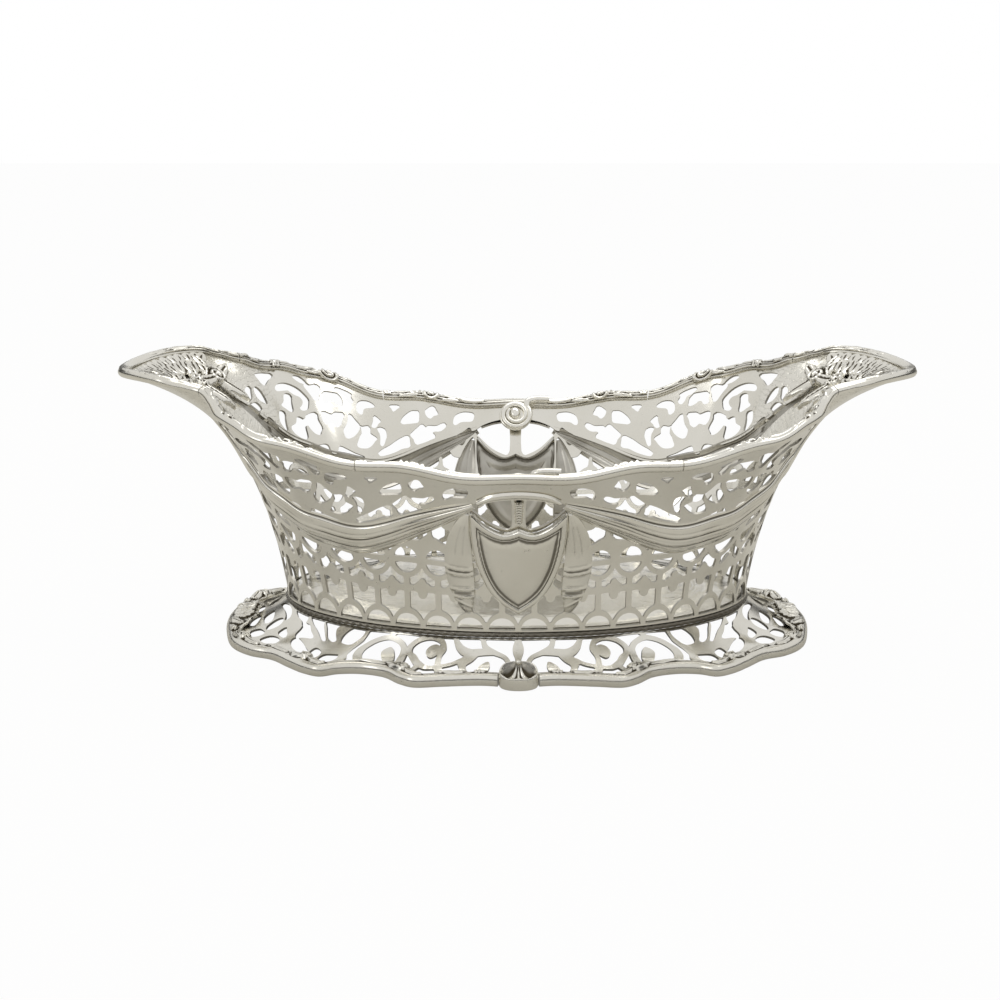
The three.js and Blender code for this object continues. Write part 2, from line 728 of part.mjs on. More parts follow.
// The foot's cut-outs, as corners [b, w, bulge]
const FLANGE_CUTS = [
  [[0.03, 0.2, 0.1], [0.085, 0.3, 0], [0.06, 0.62, -0.15], [0.028, 0.7, 0]],
  [[0.06, 0.84, 0], [0.12, 0.55, 0], [0.17, 0.86, 0.1], [0.1, 0.92, 0]],
  [[0.11, 0.22, 0.12], [0.2, 0.26, 0], [0.2, 0.5, 0], [0.15, 0.46, 0]],
  [[0.2, 0.76, 0], [0.255, 0.62, 0], [0.3, 0.86, 0.1]],
  [[0.235, 0.2, 0.1], [0.31, 0.28, 0], [0.29, 0.56, -0.16]],
  [[0.335, 0.7, -0.14], [0.375, 0.42, 0], [0.41, 0.72, 0], [0.37, 0.88, 0]],
  [[0.345, 0.18, 0.1], [0.43, 0.2, 0], [0.41, 0.42, 0]],
  [[0.445, 0.35, 0], [0.505, 0.22, 0], [0.5, 0.6, -0.16], [0.46, 0.72, 0]],
  [[0.475, 0.84, 0], [0.53, 0.68, 0], [0.565, 0.86, 0.1]],
  [[0.545, 0.22, 0.1], [0.61, 0.24, 0], [0.615, 0.6, 0], [0.57, 0.58, -0.16]],
  [[0.64, 0.74, 0], [0.68, 0.56, 0], [0.7, 0.84, 0]],
  [[0.65, 0.22, 0.12], [0.73, 0.26, 0], [0.7, 0.46, 0]],
  [[0.745, 0.55, 0], [0.78, 0.3, 0], [0.83, 0.6, 0.12], [0.775, 0.86, 0]],
  [[0.83, 0.2, 0.1], [0.9, 0.3, 0], [0.88, 0.54, 0]],
  [[0.86, 0.82, 0], [0.92, 0.58, 0], [0.955, 0.82, 0.1]],
  [[0.94, 0.2, 0], [0.978, 0.22, 0], [0.975, 0.56, 0]],
];

function footFlange() {
  const edge = [...new Set(Object.values(FOOT_STATIONS).flat())];
  const outline = [
    ...evenly(0, 1, COLLAR_STEPS).map((b) => [b, 0]),
    [1, 0.4],
    [1, 0.7],
    ...edge.reverse().map((b) => [b, 1]),
    [0, 0.7],
    [0, 0.4],
  ];
  const region = triangulate(
    outline.map((place) => drawn(place, FOOT_PATTERN)),
    FLANGE_CUTS.map((corners) => cutOut(corners, FOOT_PATTERN)),
  );
  const place = (p, lift) => onFlange(...undrawn(p, FOOT_PATTERN), lift);
  return sheetSolid(allRound(region, place, true));
}

// The cast border of the foot, thicker where a leaf curls over its lobes
const FOOT_LEAVES = [0.3, 0.56, 0.8, 0.97];
const FOOT_LEAF_SPAN = [0.87, 0.95]; // where the leaf at the foot's end spreads

function leafSwell(share, places, reach) {
  return places.reduce((sum, place) => (
    Math.max(sum, Math.cos(clamp01(Math.abs(share - place) / reach) * Math.PI) * 0.5 + 0.5)
  ), 0);
}

function footBorder() {
  const gap = CLEARANCE / footCurve.getLength() * 2;
  const stations = FOOT_STATIONS.border;
  const last = stations.length - 1;
  const rings = stations.map((station, i) => {
    const share = station + (i === 0 ? gap : 0) - (i === last ? gap : 0);
    const { place, out } = footFrame(share);
    const swell = leafSwell(share, FOOT_LEAVES, 0.045);
    const leaf = THREE.MathUtils.smoothstep(share, ...FOOT_LEAF_SPAN);
    const edge = -FOOT_BORDER_WIDTH - FOOT_END_LEAF * leaf;
    const top = FOOT_BORDER_HEIGHT * (0.95 + 0.3 * swell * (1 - leaf)) + FOOT_END_RISE * leaf;
    // from the corner under the leaf, from which the whole section can be seen
    const section = [
      [-FOOT_BORDER_WIDTH, 0],
      [0, 0],
      [BORDER_ROUND, FOOT_BORDER_HEIGHT * 0.45],
      [-FOOT_BORDER_WIDTH * 0.3, FOOT_BORDER_HEIGHT * (1 + 0.28 * swell)],
      [edge, top],
      [edge, top - 0.45 - 0.65 * leaf],
      [-FOOT_BORDER_WIDTH, FOOT_BORDER_HEIGHT * 0.76 + leaf],
    ];
    return section.map(([reach, height]) => (
      place.clone().addScaledVector(out, reach).setZ(height)
    )).reverse();
  });
  return loftSolid(rings);
}

// The fluted shell in the middle of each long side of the foot
function footShell() {
  const half = FOOT_STATIONS.shell.flatMap((share, i, all) => (
    i === 0 ? [share] : [(share + all[i - 1]) / 2, share]
  ));
  const stations = [...half.slice(1).reverse().map((share) => -share), ...half];
  const gap = CLEARANCE / footCurve.getLength() * 2;
  const rings = stations.map((share) => {
    const turn = share / SHELL_HALF;
    const { place, out } = footFrame(share - turn * gap);
    const lobe = Math.sqrt(1 - 0.96 * turn * turn);
    const flute = 0.5 + 0.5 * Math.cos(turn * Math.PI * 5);
    const reach = SHELL_RELIEF * lobe + BORDER_ROUND;
    const top = FOOT_BORDER_HEIGHT * (0.9 + 0.25 * lobe + 0.16 * flute);
    const section = [
      [reach - BORDER_ROUND, 0],
      [reach, top * 0.4],
      [reach - BORDER_ROUND, top * 0.9],
      [-FOOT_BORDER_WIDTH * 0.4, top * 1.08],
      [-FOOT_BORDER_WIDTH, top * 0.8],
      [-FOOT_BORDER_WIDTH, 0],
    ];
    return section.map(([r, height]) => place.clone().addScaledVector(out, r).setZ(height)).reverse();
  });
  return loftSolid(rings);
}

// The cast rim: a wire over the wall's top edge that swells into knots, scrolls and husks
const RIM_KNOTS = [0.2, 0.41, 0.53, 0.645];
const RIM_HUSKS = [0.075, 0.13, 0.265, 0.33, 0.47, 0.585];

function rimSection(share) {
  const a = share > 1 ? 2 - placeOnRim(2 - share) : Math.sign(share) * placeOnRim(Math.abs(share));
  const { out, up } = wallFrame(a, 1);
  const centre = wallPoint(a, 1);
  const quarter = Math.abs(share > 1 ? 2 - share : share);
  const knot = leafSwell(quarter, RIM_KNOTS, 0.05);
  const husk = leafSwell(quarter, RIM_HUSKS, 0.022);
  const ripple = quarter > neckShare ? 0.5 + 0.5 * Math.cos((quarter - 1) * Math.PI * 22) : 0;
  const half = RIM_WIRE / 2;
  const inner = half * (1.05 + 0.75 * knot + 0.35 * husk + 0.3 * ripple);
  const crest = half * (1 + 0.5 * knot + 0.2 * husk + 0.2 * ripple);
  const section = [
    [-half * 0.7, -half],
    [half * 0.7, -half],
    [half, half * 0.05],
    [half * 0.35, crest * 0.95],
    [-half * 0.7, crest],
    [-inner, 0],
  ];
  return section.reverse().map(([r, h]) => (
    centre.clone().addScaledVector(out, r).addScaledVector(up, h)
  ));
}

// A length of the rim over the given stations, which stops short of its neighbours by the clearance
function rimPiece(stations) {
  const gap = CLEARANCE / rimLength / 2;
  const last = stations.length - 1;
  return loftSolid(stations.map((share, i) => {
    const shortened = share + (i === 0 ? gap : 0) - (i === last ? gap : 0);
    return rimSection(shortened);
  }));
}

function rimMiddle() {
  const half = RIM_SECTIONS.middle;
  return rimPiece([...half.slice(1).reverse().map((share) => -share), ...half]);
}

function rimHandle() {
  const half = RIM_SECTIONS.handle;
  return rimPiece([...half, ...half.slice(0, -1).reverse().map((share) => 2 - share)]);
}

// The volute that rolls inwards over the middle of the rim, with a ball in its eye
const VOLUTE_SIDES = 14;
const VOLUTE_PLACE = 0.9; // its height on the wall
const VOLUTE_LEAN = 0.9; // its flat back stands clear of the curved wall by this much more than the seat
function rimVolute() {
  const profile = [
    [0, 0],
    [VOLUTE_RADIUS, 0],
    [VOLUTE_RADIUS, VOLUTE_HEIGHT * 0.4],
    [VOLUTE_RADIUS * 0.81, VOLUTE_HEIGHT * 0.72],
    [VOLUTE_RADIUS * 0.6, VOLUTE_HEIGHT * 0.38],
    [VOLUTE_BALL, VOLUTE_HEIGHT * 0.38],
    [VOLUTE_BALL * 0.8, VOLUTE_HEIGHT * 0.77],
    [0, VOLUTE_HEIGHT],
  ].map(([radius, height]) => point(radius, height));
  const volute = new THREE.LatheGeometry(profile, VOLUTE_SIDES);
  const { along, up, out } = wallFrame(0, 1);
  const inwards = out.clone().negate();
  const middle = onWall(0, VOLUTE_PLACE, -SHEET - SEAT - VOLUTE_LEAN);
  volute.applyMatrix4(new THREE.Matrix4().makeBasis(along, inwards, up).setPosition(middle));
  return welded(volute);
}

// One shared vertex for each corner, and no faces without area
function welded(geometry) {
  geometry.deleteAttribute('normal');
  geometry.deleteAttribute('uv');
  const merged = mergeVertices(geometry, 1e-4);
  const index = Array.from(merged.index.array);
  const kept = [];
  for (let face = 0; face < index.length; face += 3) {
    const [i, j, k] = index.slice(face, face + 3);
    if (i !== j && j !== k && k !== i) kept.push(i, j, k);
  }
  merged.setIndex(kept);
  merged.computeVertexNormals();
  return merged;
}

// Foliage laid on the inside of a handle, in lobes that spread from its tip
const LEAF_HALF = 0.15; // in a, either side of the tip
const LEAF_TIP = 0.955;
const LEAF_ROOT = 0.8;
const LEAF_EDGE = 0.5; // thickness of the foliage at its edge

function handleLeaf() {
  const region = gridRegion(12, 3);
  const back = -SHEET - SEAT;
  const place = (p, raised) => {
    const turn = mix(-1, 1, p.x);
    const lobe = Math.abs(Math.cos(turn * Math.PI * 2.5));
    const root = LEAF_ROOT + 0.045 * (1 - lobe) + 0.07 * turn * turn;
    const v = mix(root, LEAF_TIP, p.y);
    const ridge = (0.35 + 0.65 * lobe) * Math.sin(Math.PI * mix(0.12, 0.85, p.y));
    const lift = raised ? back - LEAF_EDGE - LEAF_RELIEF * ridge : back;
    return onWall(1 + turn * LEAF_HALF, v, lift);
  };
  return sheetSolid([{ region, front: (p) => place(p, false), back: (p) => place(p, true), mirrored: false }]);
}

// The shield: half of its outline as corners (a, v), from the cusp of its top to its tip
const SHIELD_LINE = [
  [0, 0.691],
  [0.04, 0.666],
  [0.085, 0.72],
  [0.122, 0.813],
  [0.132, 0.737],
  [0.134, 0.58],
  [0.128, 0.42],
  [0.108, 0.28],
  [0.08, 0.185],
  [0.042, 0.132],
  [0, 0.112],
];
const SHIELD_MIDDLE = [0, 0.46];
const FIELD_SHARE = 0.86; // size of the sunk field in the shield
const FIELD_DOME = 0.8; // how far the middle of the field swells
const FIELD_REACH = 22; // distance from the middle at which the swelling ends

function shield() {
  const half = SHIELD_LINE.map((place) => drawn(place));
  const outline = [...half, ...half.slice(1, -1).reverse().map((p) => point(-p.x, p.y))].reverse();
  const middle = drawn(SHIELD_MIDDLE);
  const inner = outline.map((p) => p.clone().sub(middle).multiplyScalar(FIELD_SHARE).add(middle));
  const step = outline.map((p) => p.clone().sub(middle).multiplyScalar(FIELD_SHARE * 0.96).add(middle));
  const crown = [0.5, 0].map((s) => outline
    .filter((_, i) => s > 0 && i % 2 === 0)
    .map((p) => p.clone().sub(middle).multiplyScalar(s).add(middle)));
  const loose = [...inner, ...step, ...crown.flat(), middle.clone()];
  const region = triangulate(outline, [], loose);
  const raised = new Set([...outline, ...inner].map((p) => `${p.x}_${p.y}`));
  const back = SEAT;
  const lift = (p) => {
    const edge = raised.has(`${p.x}_${p.y}`);
    const across = p.distanceTo(middle) / FIELD_REACH;
    const dome = FIELD_DOME * (1 - clamp01(across) ** 2);
    return back + (edge ? SHIELD_RELIEF : SHIELD_RELIEF - SHIELD_BORDER + dome);
  };
  return sheetSolid([{
    region,
    front: (p) => onWall(...undrawn(p), lift(p)),
    back: (p) => onWall(...undrawn(p), back),
    mirrored: false,
  }]);
}

// A strip laid on the wall: its middle line and half-width as stations [a, v, half], drawn smoothly
function stripLine(stations) {
  const curve = new THREE.CatmullRomCurve3(stations.map(([a, v]) => new THREE.Vector3(a, v, 0)));
  const widths = new THREE.CatmullRomCurve3(stations.map(([, , half], i) => new THREE.Vector3(i, half, 0)));
  return (t) => ({ place: curve.getPoint(t), half: widths.getPoint(t).y });
}

function strip(stations, columns, rows, relief) {
  const line = stripLine(stations);
  const region = gridRegion(columns, rows);
  const at = (p, lift) => {
    const { place, half } = line(p.x);
    const ahead = line(Math.min(p.x + 0.01, 1)).place;
    const behind = line(Math.max(p.x - 0.01, 0)).place;
    const along = drawn([ahead.x, ahead.y]).sub(drawn([behind.x, behind.y])).normalize();
    const across = point(-along.y, along.x).multiplyScalar(mix(-half, half, p.y));
    return onWall(...undrawn(drawn([place.x, place.y]).add(across)), lift);
  };
  return sheetSolid([{
    region,
    front: (p) => at(p, SEAT + relief(p.x, p.y)),
    back: (p) => at(p, SEAT),
    mirrored: false,
  }]);
}

// A swag hangs from the shield's corner to the neck of the handle; half-widths in millimetres
const SWAG_LINE = [
  [0.134, 0.835, 1.2],
  [0.2, 0.77, 2.4],
  [0.3, 0.665, 3.8],
  [0.4, 0.575, 4.7],
  [0.52, 0.51, 5],
  [0.64, 0.525, 4.9],
  [0.74, 0.6, 4],
  [0.83, 0.71, 2.8],
  [0.89, 0.811, 1.6],
];

function swag() {
  const fold = (t, u) => {
    const round = Math.sin(Math.PI * mix(0.06, 0.94, u)) ** 0.7;
    const pleats = 1 + 0.24 * Math.cos(u * Math.PI * 6);
    const ends = Math.min(1, Math.sin(Math.PI * mix(0.12, 0.96, t)) * 1.5);
    return SWAG_RELIEF * 0.78 * round * pleats * ends;
  };
  return strip(SWAG_LINE, 11, 4, fold);
}

// The tail of the drapery that falls beside the shield
const TAIL_LINE = [
  [0.153, 0.76, 0.9],
  [0.163, 0.68, 2.6],
  [0.174, 0.58, 4.2],
  [0.176, 0.46, 4.9],
  [0.168, 0.32, 4.7],
  [0.154, 0.19, 3.1],
  [0.146, 0.12, 1.2],
];

function shieldTail() {
  const fold = (t, u) => {
    const round = Math.sin(Math.PI * mix(0.1, 0.9, u)) ** 0.6;
    const tied = 1 - 0.35 * Math.exp(-(((t - 0.68) / 0.05) ** 2));
    return TAIL_RELIEF * round * tied * (1 + 0.12 * Math.cos(u * Math.PI * 4));
  };
  return strip(TAIL_LINE, 6, 3, fold);
}

// The arched band over the shield, tied in the middle by an upright strap
const BAND_LINE = [
  [-0.122, 0.862, 0.9],
  [-0.075, 0.895, 1.5],
  [0, 0.905, 1.6],
  [0.075, 0.895, 1.5],
  [0.122, 0.862, 0.9],
];
const STRAP_HALF = 1.7;

function shieldBand() {
  const round = (t, u) => BAND_RELIEF * Math.sin(Math.PI * mix(0.15, 0.85, u));
  return strip(BAND_LINE, 8, 2, round);
}

function bandStrap() {
  const line = [[0, 0.73, STRAP_HALF * 0.8], [0, 0.8, STRAP_HALF], [0, 0.868, STRAP_HALF]];
  return strip(line, 2, 2, (t, u) => BAND_RELIEF * 1.2 * Math.sin(Math.PI * mix(0.15, 0.85, u)));
}

// Polished silver, a little warmer where the sheet shows its floor
const silver = (color, roughness) => new THREE.MeshStandardMaterial({ color, roughness, metalness: 1 });
const SHEET_SILVER = [0xd2cfc4, 0.22];
const CAST_SILVER = [0xdcdad2, 0.18];
const FIELD_SILVER = [0xc6c3b6, 0.26];
const FLOOR_SILVER = [0xcfccc0, 0.3];

const basket = new THREE.Group();

function addPiece(name, geometry, look, parent = basket) {
  const mesh = new THREE.Mesh(geometry, silver(...look));
  mesh.name = name;
  parent.add(mesh);
}

const foot = new THREE.Group();
const bowl = new THREE.Group();
basket.add(foot, bowl);

addPiece('bowl_wall', bowlWall(), SHEET_SILVER, bowl);
addPiece('bowl_floor', bowlFloor(), FLOOR_SILVER, bowl);
addPiece('collar', collar(), CAST_SILVER, foot);
addPiece('foot_flange', footFlange(), SHEET_SILVER, foot);

const quarterPieces = {
  foot_border: [footBorder(), CAST_SILVER, foot],
  swag: [swag(), SHEET_SILVER, bowl],
  shield_tail: [shieldTail(), SHEET_SILVER, bowl],
  rim_shoulder: [rimPiece(RIM_SECTIONS.shoulder), CAST_SILVER, bowl],
};
for (const [piece, [geometry, look, parent]] of Object.entries(quarterPieces)) {
  for (const { xSign, ySign, name } of QUARTERS) {
    addPiece(`${piece}_${name}`, mirroredSolid(geometry, xSign, ySign), look, parent);
  }
}

const sidePieces = {
  rim_middle: [rimMiddle(), CAST_SILVER, bowl],
  rim_volute: [rimVolute(), CAST_SILVER, bowl],
  shield: [shield(), FIELD_SILVER, bowl],
  shield_band: [shieldBand(), SHEET_SILVER, bowl],
  band_strap: [bandStrap(), SHEET_SILVER, bowl],
  foot_shell: [footShell(), CAST_SILVER, foot],
};
for (const [piece, [geometry, look, parent]] of Object.entries(sidePieces)) {
  addPiece(`${piece}_front`, geometry, look, parent);
  addPiece(`${piece}_back`, mirroredSolid(geometry, 1, -1), look, parent);
}

const endPieces = {
  rim_handle: [rimHandle(), CAST_SILVER, bowl],
  handle_leaf: [handleLeaf(), CAST_SILVER, bowl],
};
for (const [piece, [geometry, look, parent]] of Object.entries(endPieces)) {
  addPiece(`${piece}_right`, geometry, look, parent);
  addPiece(`${piece}_left`, mirroredSolid(geometry, -1, 1), look, parent);
}

export default basket;
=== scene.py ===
# %% [markdown]
# # A pierced silver basket
# This lesson dresses a plain CAD model of a silver basket for a photograph. The basket is pierced
# sheet: a lattice and a panel of scrolls are sawn out of thin silver, a cast border is soldered on,
# and swags, shields and shells are laid over it. Each step says what a piece is, how it could be
# made, and why this way was chosen.

# %% Load the model that everything is built around
import math

import bpy
import numpy as np
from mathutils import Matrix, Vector


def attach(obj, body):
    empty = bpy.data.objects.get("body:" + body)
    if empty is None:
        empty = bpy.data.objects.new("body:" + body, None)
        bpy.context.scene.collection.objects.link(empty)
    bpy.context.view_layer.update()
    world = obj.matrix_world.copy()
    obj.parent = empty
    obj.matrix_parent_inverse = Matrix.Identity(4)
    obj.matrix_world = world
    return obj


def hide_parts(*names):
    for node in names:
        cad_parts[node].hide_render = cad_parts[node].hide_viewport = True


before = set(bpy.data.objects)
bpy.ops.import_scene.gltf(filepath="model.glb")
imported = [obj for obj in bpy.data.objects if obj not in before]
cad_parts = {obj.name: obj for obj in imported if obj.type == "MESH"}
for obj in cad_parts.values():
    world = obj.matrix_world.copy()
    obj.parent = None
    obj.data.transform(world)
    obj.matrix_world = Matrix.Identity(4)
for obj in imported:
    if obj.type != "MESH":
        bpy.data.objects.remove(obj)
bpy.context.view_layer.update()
print("nodes in the model:", len(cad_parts))

# %% [markdown]
# The driving sizes are those of the CAD model, in millimetres. The basket is drawn in millimetres
# and brought to metres when its points are written into a mesh.

# %% Sizes
MM = 0.001
RIM_LENGTH, RIM_WIDTH = 296, 158
SIDE_HEIGHT, HANDLE_HEIGHT = 75, 103
COLLAR_LENGTH, COLLAR_WIDTH, COLLAR_HEIGHT = 176, 111, 15.2
COLLAR_DEPTH = 1.9
SHOULDER_LINE = 236
SHEET = 0.9
SEAT = 0.75
CLEARANCE = 0.3
RIM_WIRE = 4.2
FOOT_LENGTH, FOOT_WIDTH = 223, 157
FOOT_BORDER_WIDTH = 4.5
FLANGE_TOP, FLANGE_BOTTOM = COLLAR_HEIGHT - 2 * CLEARANCE - COLLAR_DEPTH, 3.4

# %% [markdown]
# The rim and the foot are wavy lines that repeat in four quarters. A quarter is given as a few
# points, mirrored twice into a loop, and smoothed. A place on a loop is read in quarters: 0 is the
# middle of the front, 1 the right end, 2 the middle of the back and 3 the left end.

# %% Closed lines
RIM_LINE = [
    (0, .95, 0), (.133, .938, .02), (.252, .917, .105), (.378, .91, .215), (.497, .945, .35),
    (.584, .94, .49), (.65, .85, .595), (.698, .735, .685), (.726, .605, .775), (.756, .52, .86),
    (.802, .495, .925), (.855, .485, .985), (.912, .396, 1), (.962, .254, .974), (.991, .118, .94),
    (1, 0, .925),
]
FOOT_LINE = [
    (0, .93), (.12, .905), (.24, .918), (.33, .93), (.375, .885), (.43, .79), (.51, .743), (.58, .747),
    (.635, .78), (.69, .735), (.745, .65), (.81, .54), (.885, .48), (.95, .37), (.985, .19), (1, 0),
]
NECK = 9  # the corner of RIM_LINE where a handle begins
FINE = 120  # steps from one corner to the next


def mirrored_loop(quarter):
    """A quarter's points and their three mirror images, in order round the basket."""
    q = np.array(quarter, float)
    back = q[1:-1][::-1]
    return np.vstack([q, back * (1, -1, 1), q[:1] * (1, -1, 1), q[1:] * (-1, -1, 1), back * (-1, 1, 1)])


def smooth_loop(points):
    """A closed Catmull-Rom curve through the points, with FINE steps to each span."""
    rows = []
    for i in range(len(points)):
        p0, p1, p2, p3 = (points[(i + k) % len(points)] for k in (-1, 0, 1, 2))
        d0, d1, d2 = (max(np.linalg.norm(b - a) ** .5, 1e-4) for a, b in ((p0, p1), (p1, p2), (p2, p3)))
        m1 = ((p1 - p0) / d0 - (p2 - p0) / (d0 + d1) + (p2 - p1) / d1) * d1
        m2 = ((p2 - p1) / d1 - (p3 - p1) / (d1 + d2) + (p3 - p2) / d2) * d1
        t = np.linspace(0, 1, FINE, endpoint=False)[:, None]
        c2 = 3 * (p2 - p1) - 2 * m1 - m2
        c3 = 2 * (p1 - p2) + m1 + m2
        rows.append(p1 + m1 * t + c2 * t ** 2 + c3 * t ** 3)
    return np.vstack(rows + [points[:1]])


class Loop:
    """A closed line that is read by quarters of its length."""

    def __init__(self, points):
        self.points = points
        self.run = np.concatenate([[0], np.cumsum(np.linalg.norm(np.diff(points, axis=0), axis=1))])
        self.quarter = self.run[-1] / 4

    def at(self, turn):
        place = np.mod(np.asarray(turn, float), 4) * self.quarter
        return np.stack([np.interp(place, self.run, self.points[:, k]) for k in range(3)], -1)


def rim_point(x, y, rise):
    """A corner of RIM_LINE in millimetres."""
    height = SIDE_HEIGHT + (HANDLE_HEIGHT - SIDE_HEIGHT) * rise
    return (x * RIM_LENGTH / 2, -y * RIM_WIDTH / 2, height)


rim_loop = Loop(smooth_loop(mirrored_loop([rim_point(*p) for p in RIM_LINE])))
foot_loop = Loop(smooth_loop(mirrored_loop(
    [(x * FOOT_LENGTH / 2, -y * FOOT_WIDTH / 2, 0) for x, y in FOOT_LINE])))
turn = np.linspace(-math.pi / 2, 1.5 * math.pi, 40 * FINE + 1)
collar_loop = Loop(np.stack(
    [COLLAR_LENGTH / 2 * np.cos(turn), COLLAR_WIDTH / 2 * np.sin(turn), 0 * turn], -1))
NECK_SHARE = rim_loop.run[NECK * FINE] / rim_loop.quarter
neck = rim_loop.at(NECK_SHARE)
print("quarter of the rim %.1f mm, of the foot %.1f mm, of the collar %.1f mm"
      % (rim_loop.quarter, foot_loop.quarter, collar_loop.quarter))

# %% [markdown]
# The bowl is a sheet that rises from an oval collar and flares to the wavy rim; at the ends it fans
# out into the handles. One function gives the place of any point of it, from how far round it is
# (a, in quarters) and how far up (v, from 0 to 1), so that everything laid on the bowl can be bent
# round it in the same way.

# %% The bowl's surface
RIM_SPANS = [(0, .2, .8), (.2, .41, 2.2), (.41, .53, 1), (.53, NECK_SHARE, .8)]
SIDE_STRETCH = 1.04
FAN_START, FAN_CURVE = .35, 1.7  # where round the bowl the ends begin to fan out, and how late
SIDE_FLARE, END_FLARE, LIP_CURVE = 2.3, 1.5, 8  # how high up the sheet leans out, and how high its lip


def unit(v):
    """Directions with a length of one."""
    return v / np.linalg.norm(v, axis=-1, keepdims=True)


def ease(x, low, high):
    """From 0 at low to 1 at high, gently at both ends."""
    t = np.clip((x - low) / (high - low), 0, 1)
    return t * t * (3 - 2 * t)


def rim_dip(share):
    """How deep the cast rim hangs between its knots."""
    dip = np.zeros_like(share)
    for start, end, depth in RIM_SPANS:
        part = (share - start) / (end - start)
        dip = np.where((part >= 0) & (part < 1), depth * np.sin(math.pi * part) ** 2, dip)
    return dip


def fold(a):
    """A place all round as its twin in the first quarter, with the signs of its X and Y."""
    a = np.mod(np.asarray(a, float), 4)
    quarter = np.floor(a)
    twin = np.where(quarter % 2 == 0, a - quarter, quarter + 1 - a)
    return twin, np.where(a < 2, 1.0, -1.0), np.where((a <= 1) | (a >= 3), 1.0, -1.0)


def rim_share(a):
    """The share of the rim's quarter over a place of the collar: the ends fan out."""
    straight = SIDE_STRETCH * collar_loop.quarter / rim_loop.quarter
    return straight * a + (1 - straight) * np.clip((a - FAN_START) / (1 - FAN_START), 0, 1) ** FAN_CURVE


def bowl(a, v):
    """The place of a point of the bowl's outer face."""
    q, x_sign, y_sign = fold(a)
    v = np.asarray(v, float)
    share = rim_share(q)
    low, rim = collar_loop.at(q), rim_loop.at(share)
    past = np.clip((share - NECK_SHARE) / (1 - NECK_SHARE), 0, 1)
    half = SHOULDER_LINE / 2
    beyond = share >= NECK_SHARE
    shoulder_x = np.where(beyond, half - (half - neck[0]) * (1 - past) ** 2, rim[..., 0])
    shoulder_y = np.where(beyond, neck[1] * (1 - past), rim[..., 1])
    flare, lip = v ** (SIDE_FLARE + (END_FLARE - SIDE_FLARE) * q), v ** LIP_CURVE
    x = low[..., 0] + (shoulder_x - low[..., 0]) * flare + (rim[..., 0] - shoulder_x) * lip
    y = low[..., 1] + (shoulder_y - low[..., 1]) * flare + (rim[..., 1] - shoulder_y) * lip
    z = COLLAR_HEIGHT * (1 - v) + (rim[..., 2] - rim_dip(share)) * v
    return np.stack([x * x_sign, y * y_sign, z], -1)


def bowl_frame(a, v):
    """Directions at a place of the bowl: along it, up it and out of it."""
    step = .002
    low = np.maximum(np.asarray(v, float) - step, 0)
    along = unit(bowl(a + step, v) - bowl(a - step, v))
    up = unit(bowl(a, v + step) - bowl(a, low))
    return along, up, unit(np.cross(along, up))


def on_bowl(a, v, lift):
    """A place that stands off the bowl's outer face by lift."""
    return bowl(a, v) + bowl_frame(a, v)[2] * np.broadcast_to(lift, np.shape(a))[..., None]


# %% [markdown]
# The foot is a second sheet, from the collar out to the foot's own wavy border.

# %% The foot's surface
FOOT_CURVE = 1.7


def foot_frame(b):
    """A place on the foot's outline, with the directions along it and out of it."""
    along = unit(foot_loop.at(b + .004) - foot_loop.at(b - .004))
    out = np.stack([along[..., 1], -along[..., 0], 0 * along[..., 0]], -1)
    return foot_loop.at(b), along, out


def foot(b, w):
    """The place of a point of the foot's sheet, from the collar (w = 0) to the border (w = 1)."""
    place, _, out = foot_frame(b)
    edge = place - out * (FOOT_BORDER_WIDTH + CLEARANCE)
    w = np.asarray(w, float)
    found = collar_loop.at(b) * (1 - w)[..., None] + edge * w[..., None]
    found[..., 2] = FLANGE_BOTTOM + (FLANGE_TOP - FLANGE_BOTTOM) * (1 - w) ** FOOT_CURVE
    return found


# %% [markdown]
# A few helpers stand for the hands: one clears the selection before an operator acts, one reads and
# writes the points of a mesh, and one adds a modifier and applies it at once.

# %% Helpers for modelling
def select_only(*pieces):
    """Leave edit mode, and select these pieces and nothing else."""
    if bpy.context.mode != "OBJECT":
        bpy.ops.object.mode_set(mode="OBJECT")
    bpy.ops.object.select_all(action="DESELECT")
    for piece in pieces:
        piece.select_set(True)
    bpy.context.view_layer.objects.active = pieces[0]


def points_of(piece):
    found = np.empty(len(piece.data.vertices) * 3, np.float32)
    piece.data.vertices.foreach_get("co", found)
    return found.reshape(-1, 3).astype(float)


def move_points(piece, points):
    piece.data.vertices.foreach_set("co", np.asarray(points, np.float32).ravel())
    piece.data.update()


def apply_modifier(piece, kind, **settings):
    select_only(piece)
    modifier = piece.modifiers.new(kind.title(), kind)
    for name, value in settings.items():
        setattr(modifier, name, value)
    bpy.ops.object.modifier_apply(modifier=modifier.name)


def clean(piece, distance=2e-6, outward=True):
    """Merge doubled points and turn every face outwards."""
    select_only(piece)
    bpy.ops.object.mode_set(mode="EDIT")
    bpy.ops.mesh.select_all(action="SELECT")
    bpy.ops.mesh.remove_doubles(threshold=distance)
    if outward:
        bpy.ops.mesh.normals_make_consistent(inside=False)
    bpy.ops.object.mode_set(mode="OBJECT")


def smooth(piece, degrees=38):
    select_only(piece)
    bpy.ops.object.shade_smooth_by_angle(angle=math.radians(degrees))


def joined(name, *pieces):
    select_only(*pieces)
    if len(pieces) > 1:
        bpy.ops.object.join()
    whole = bpy.context.object
    whole.name = whole.data.name = name
    return whole


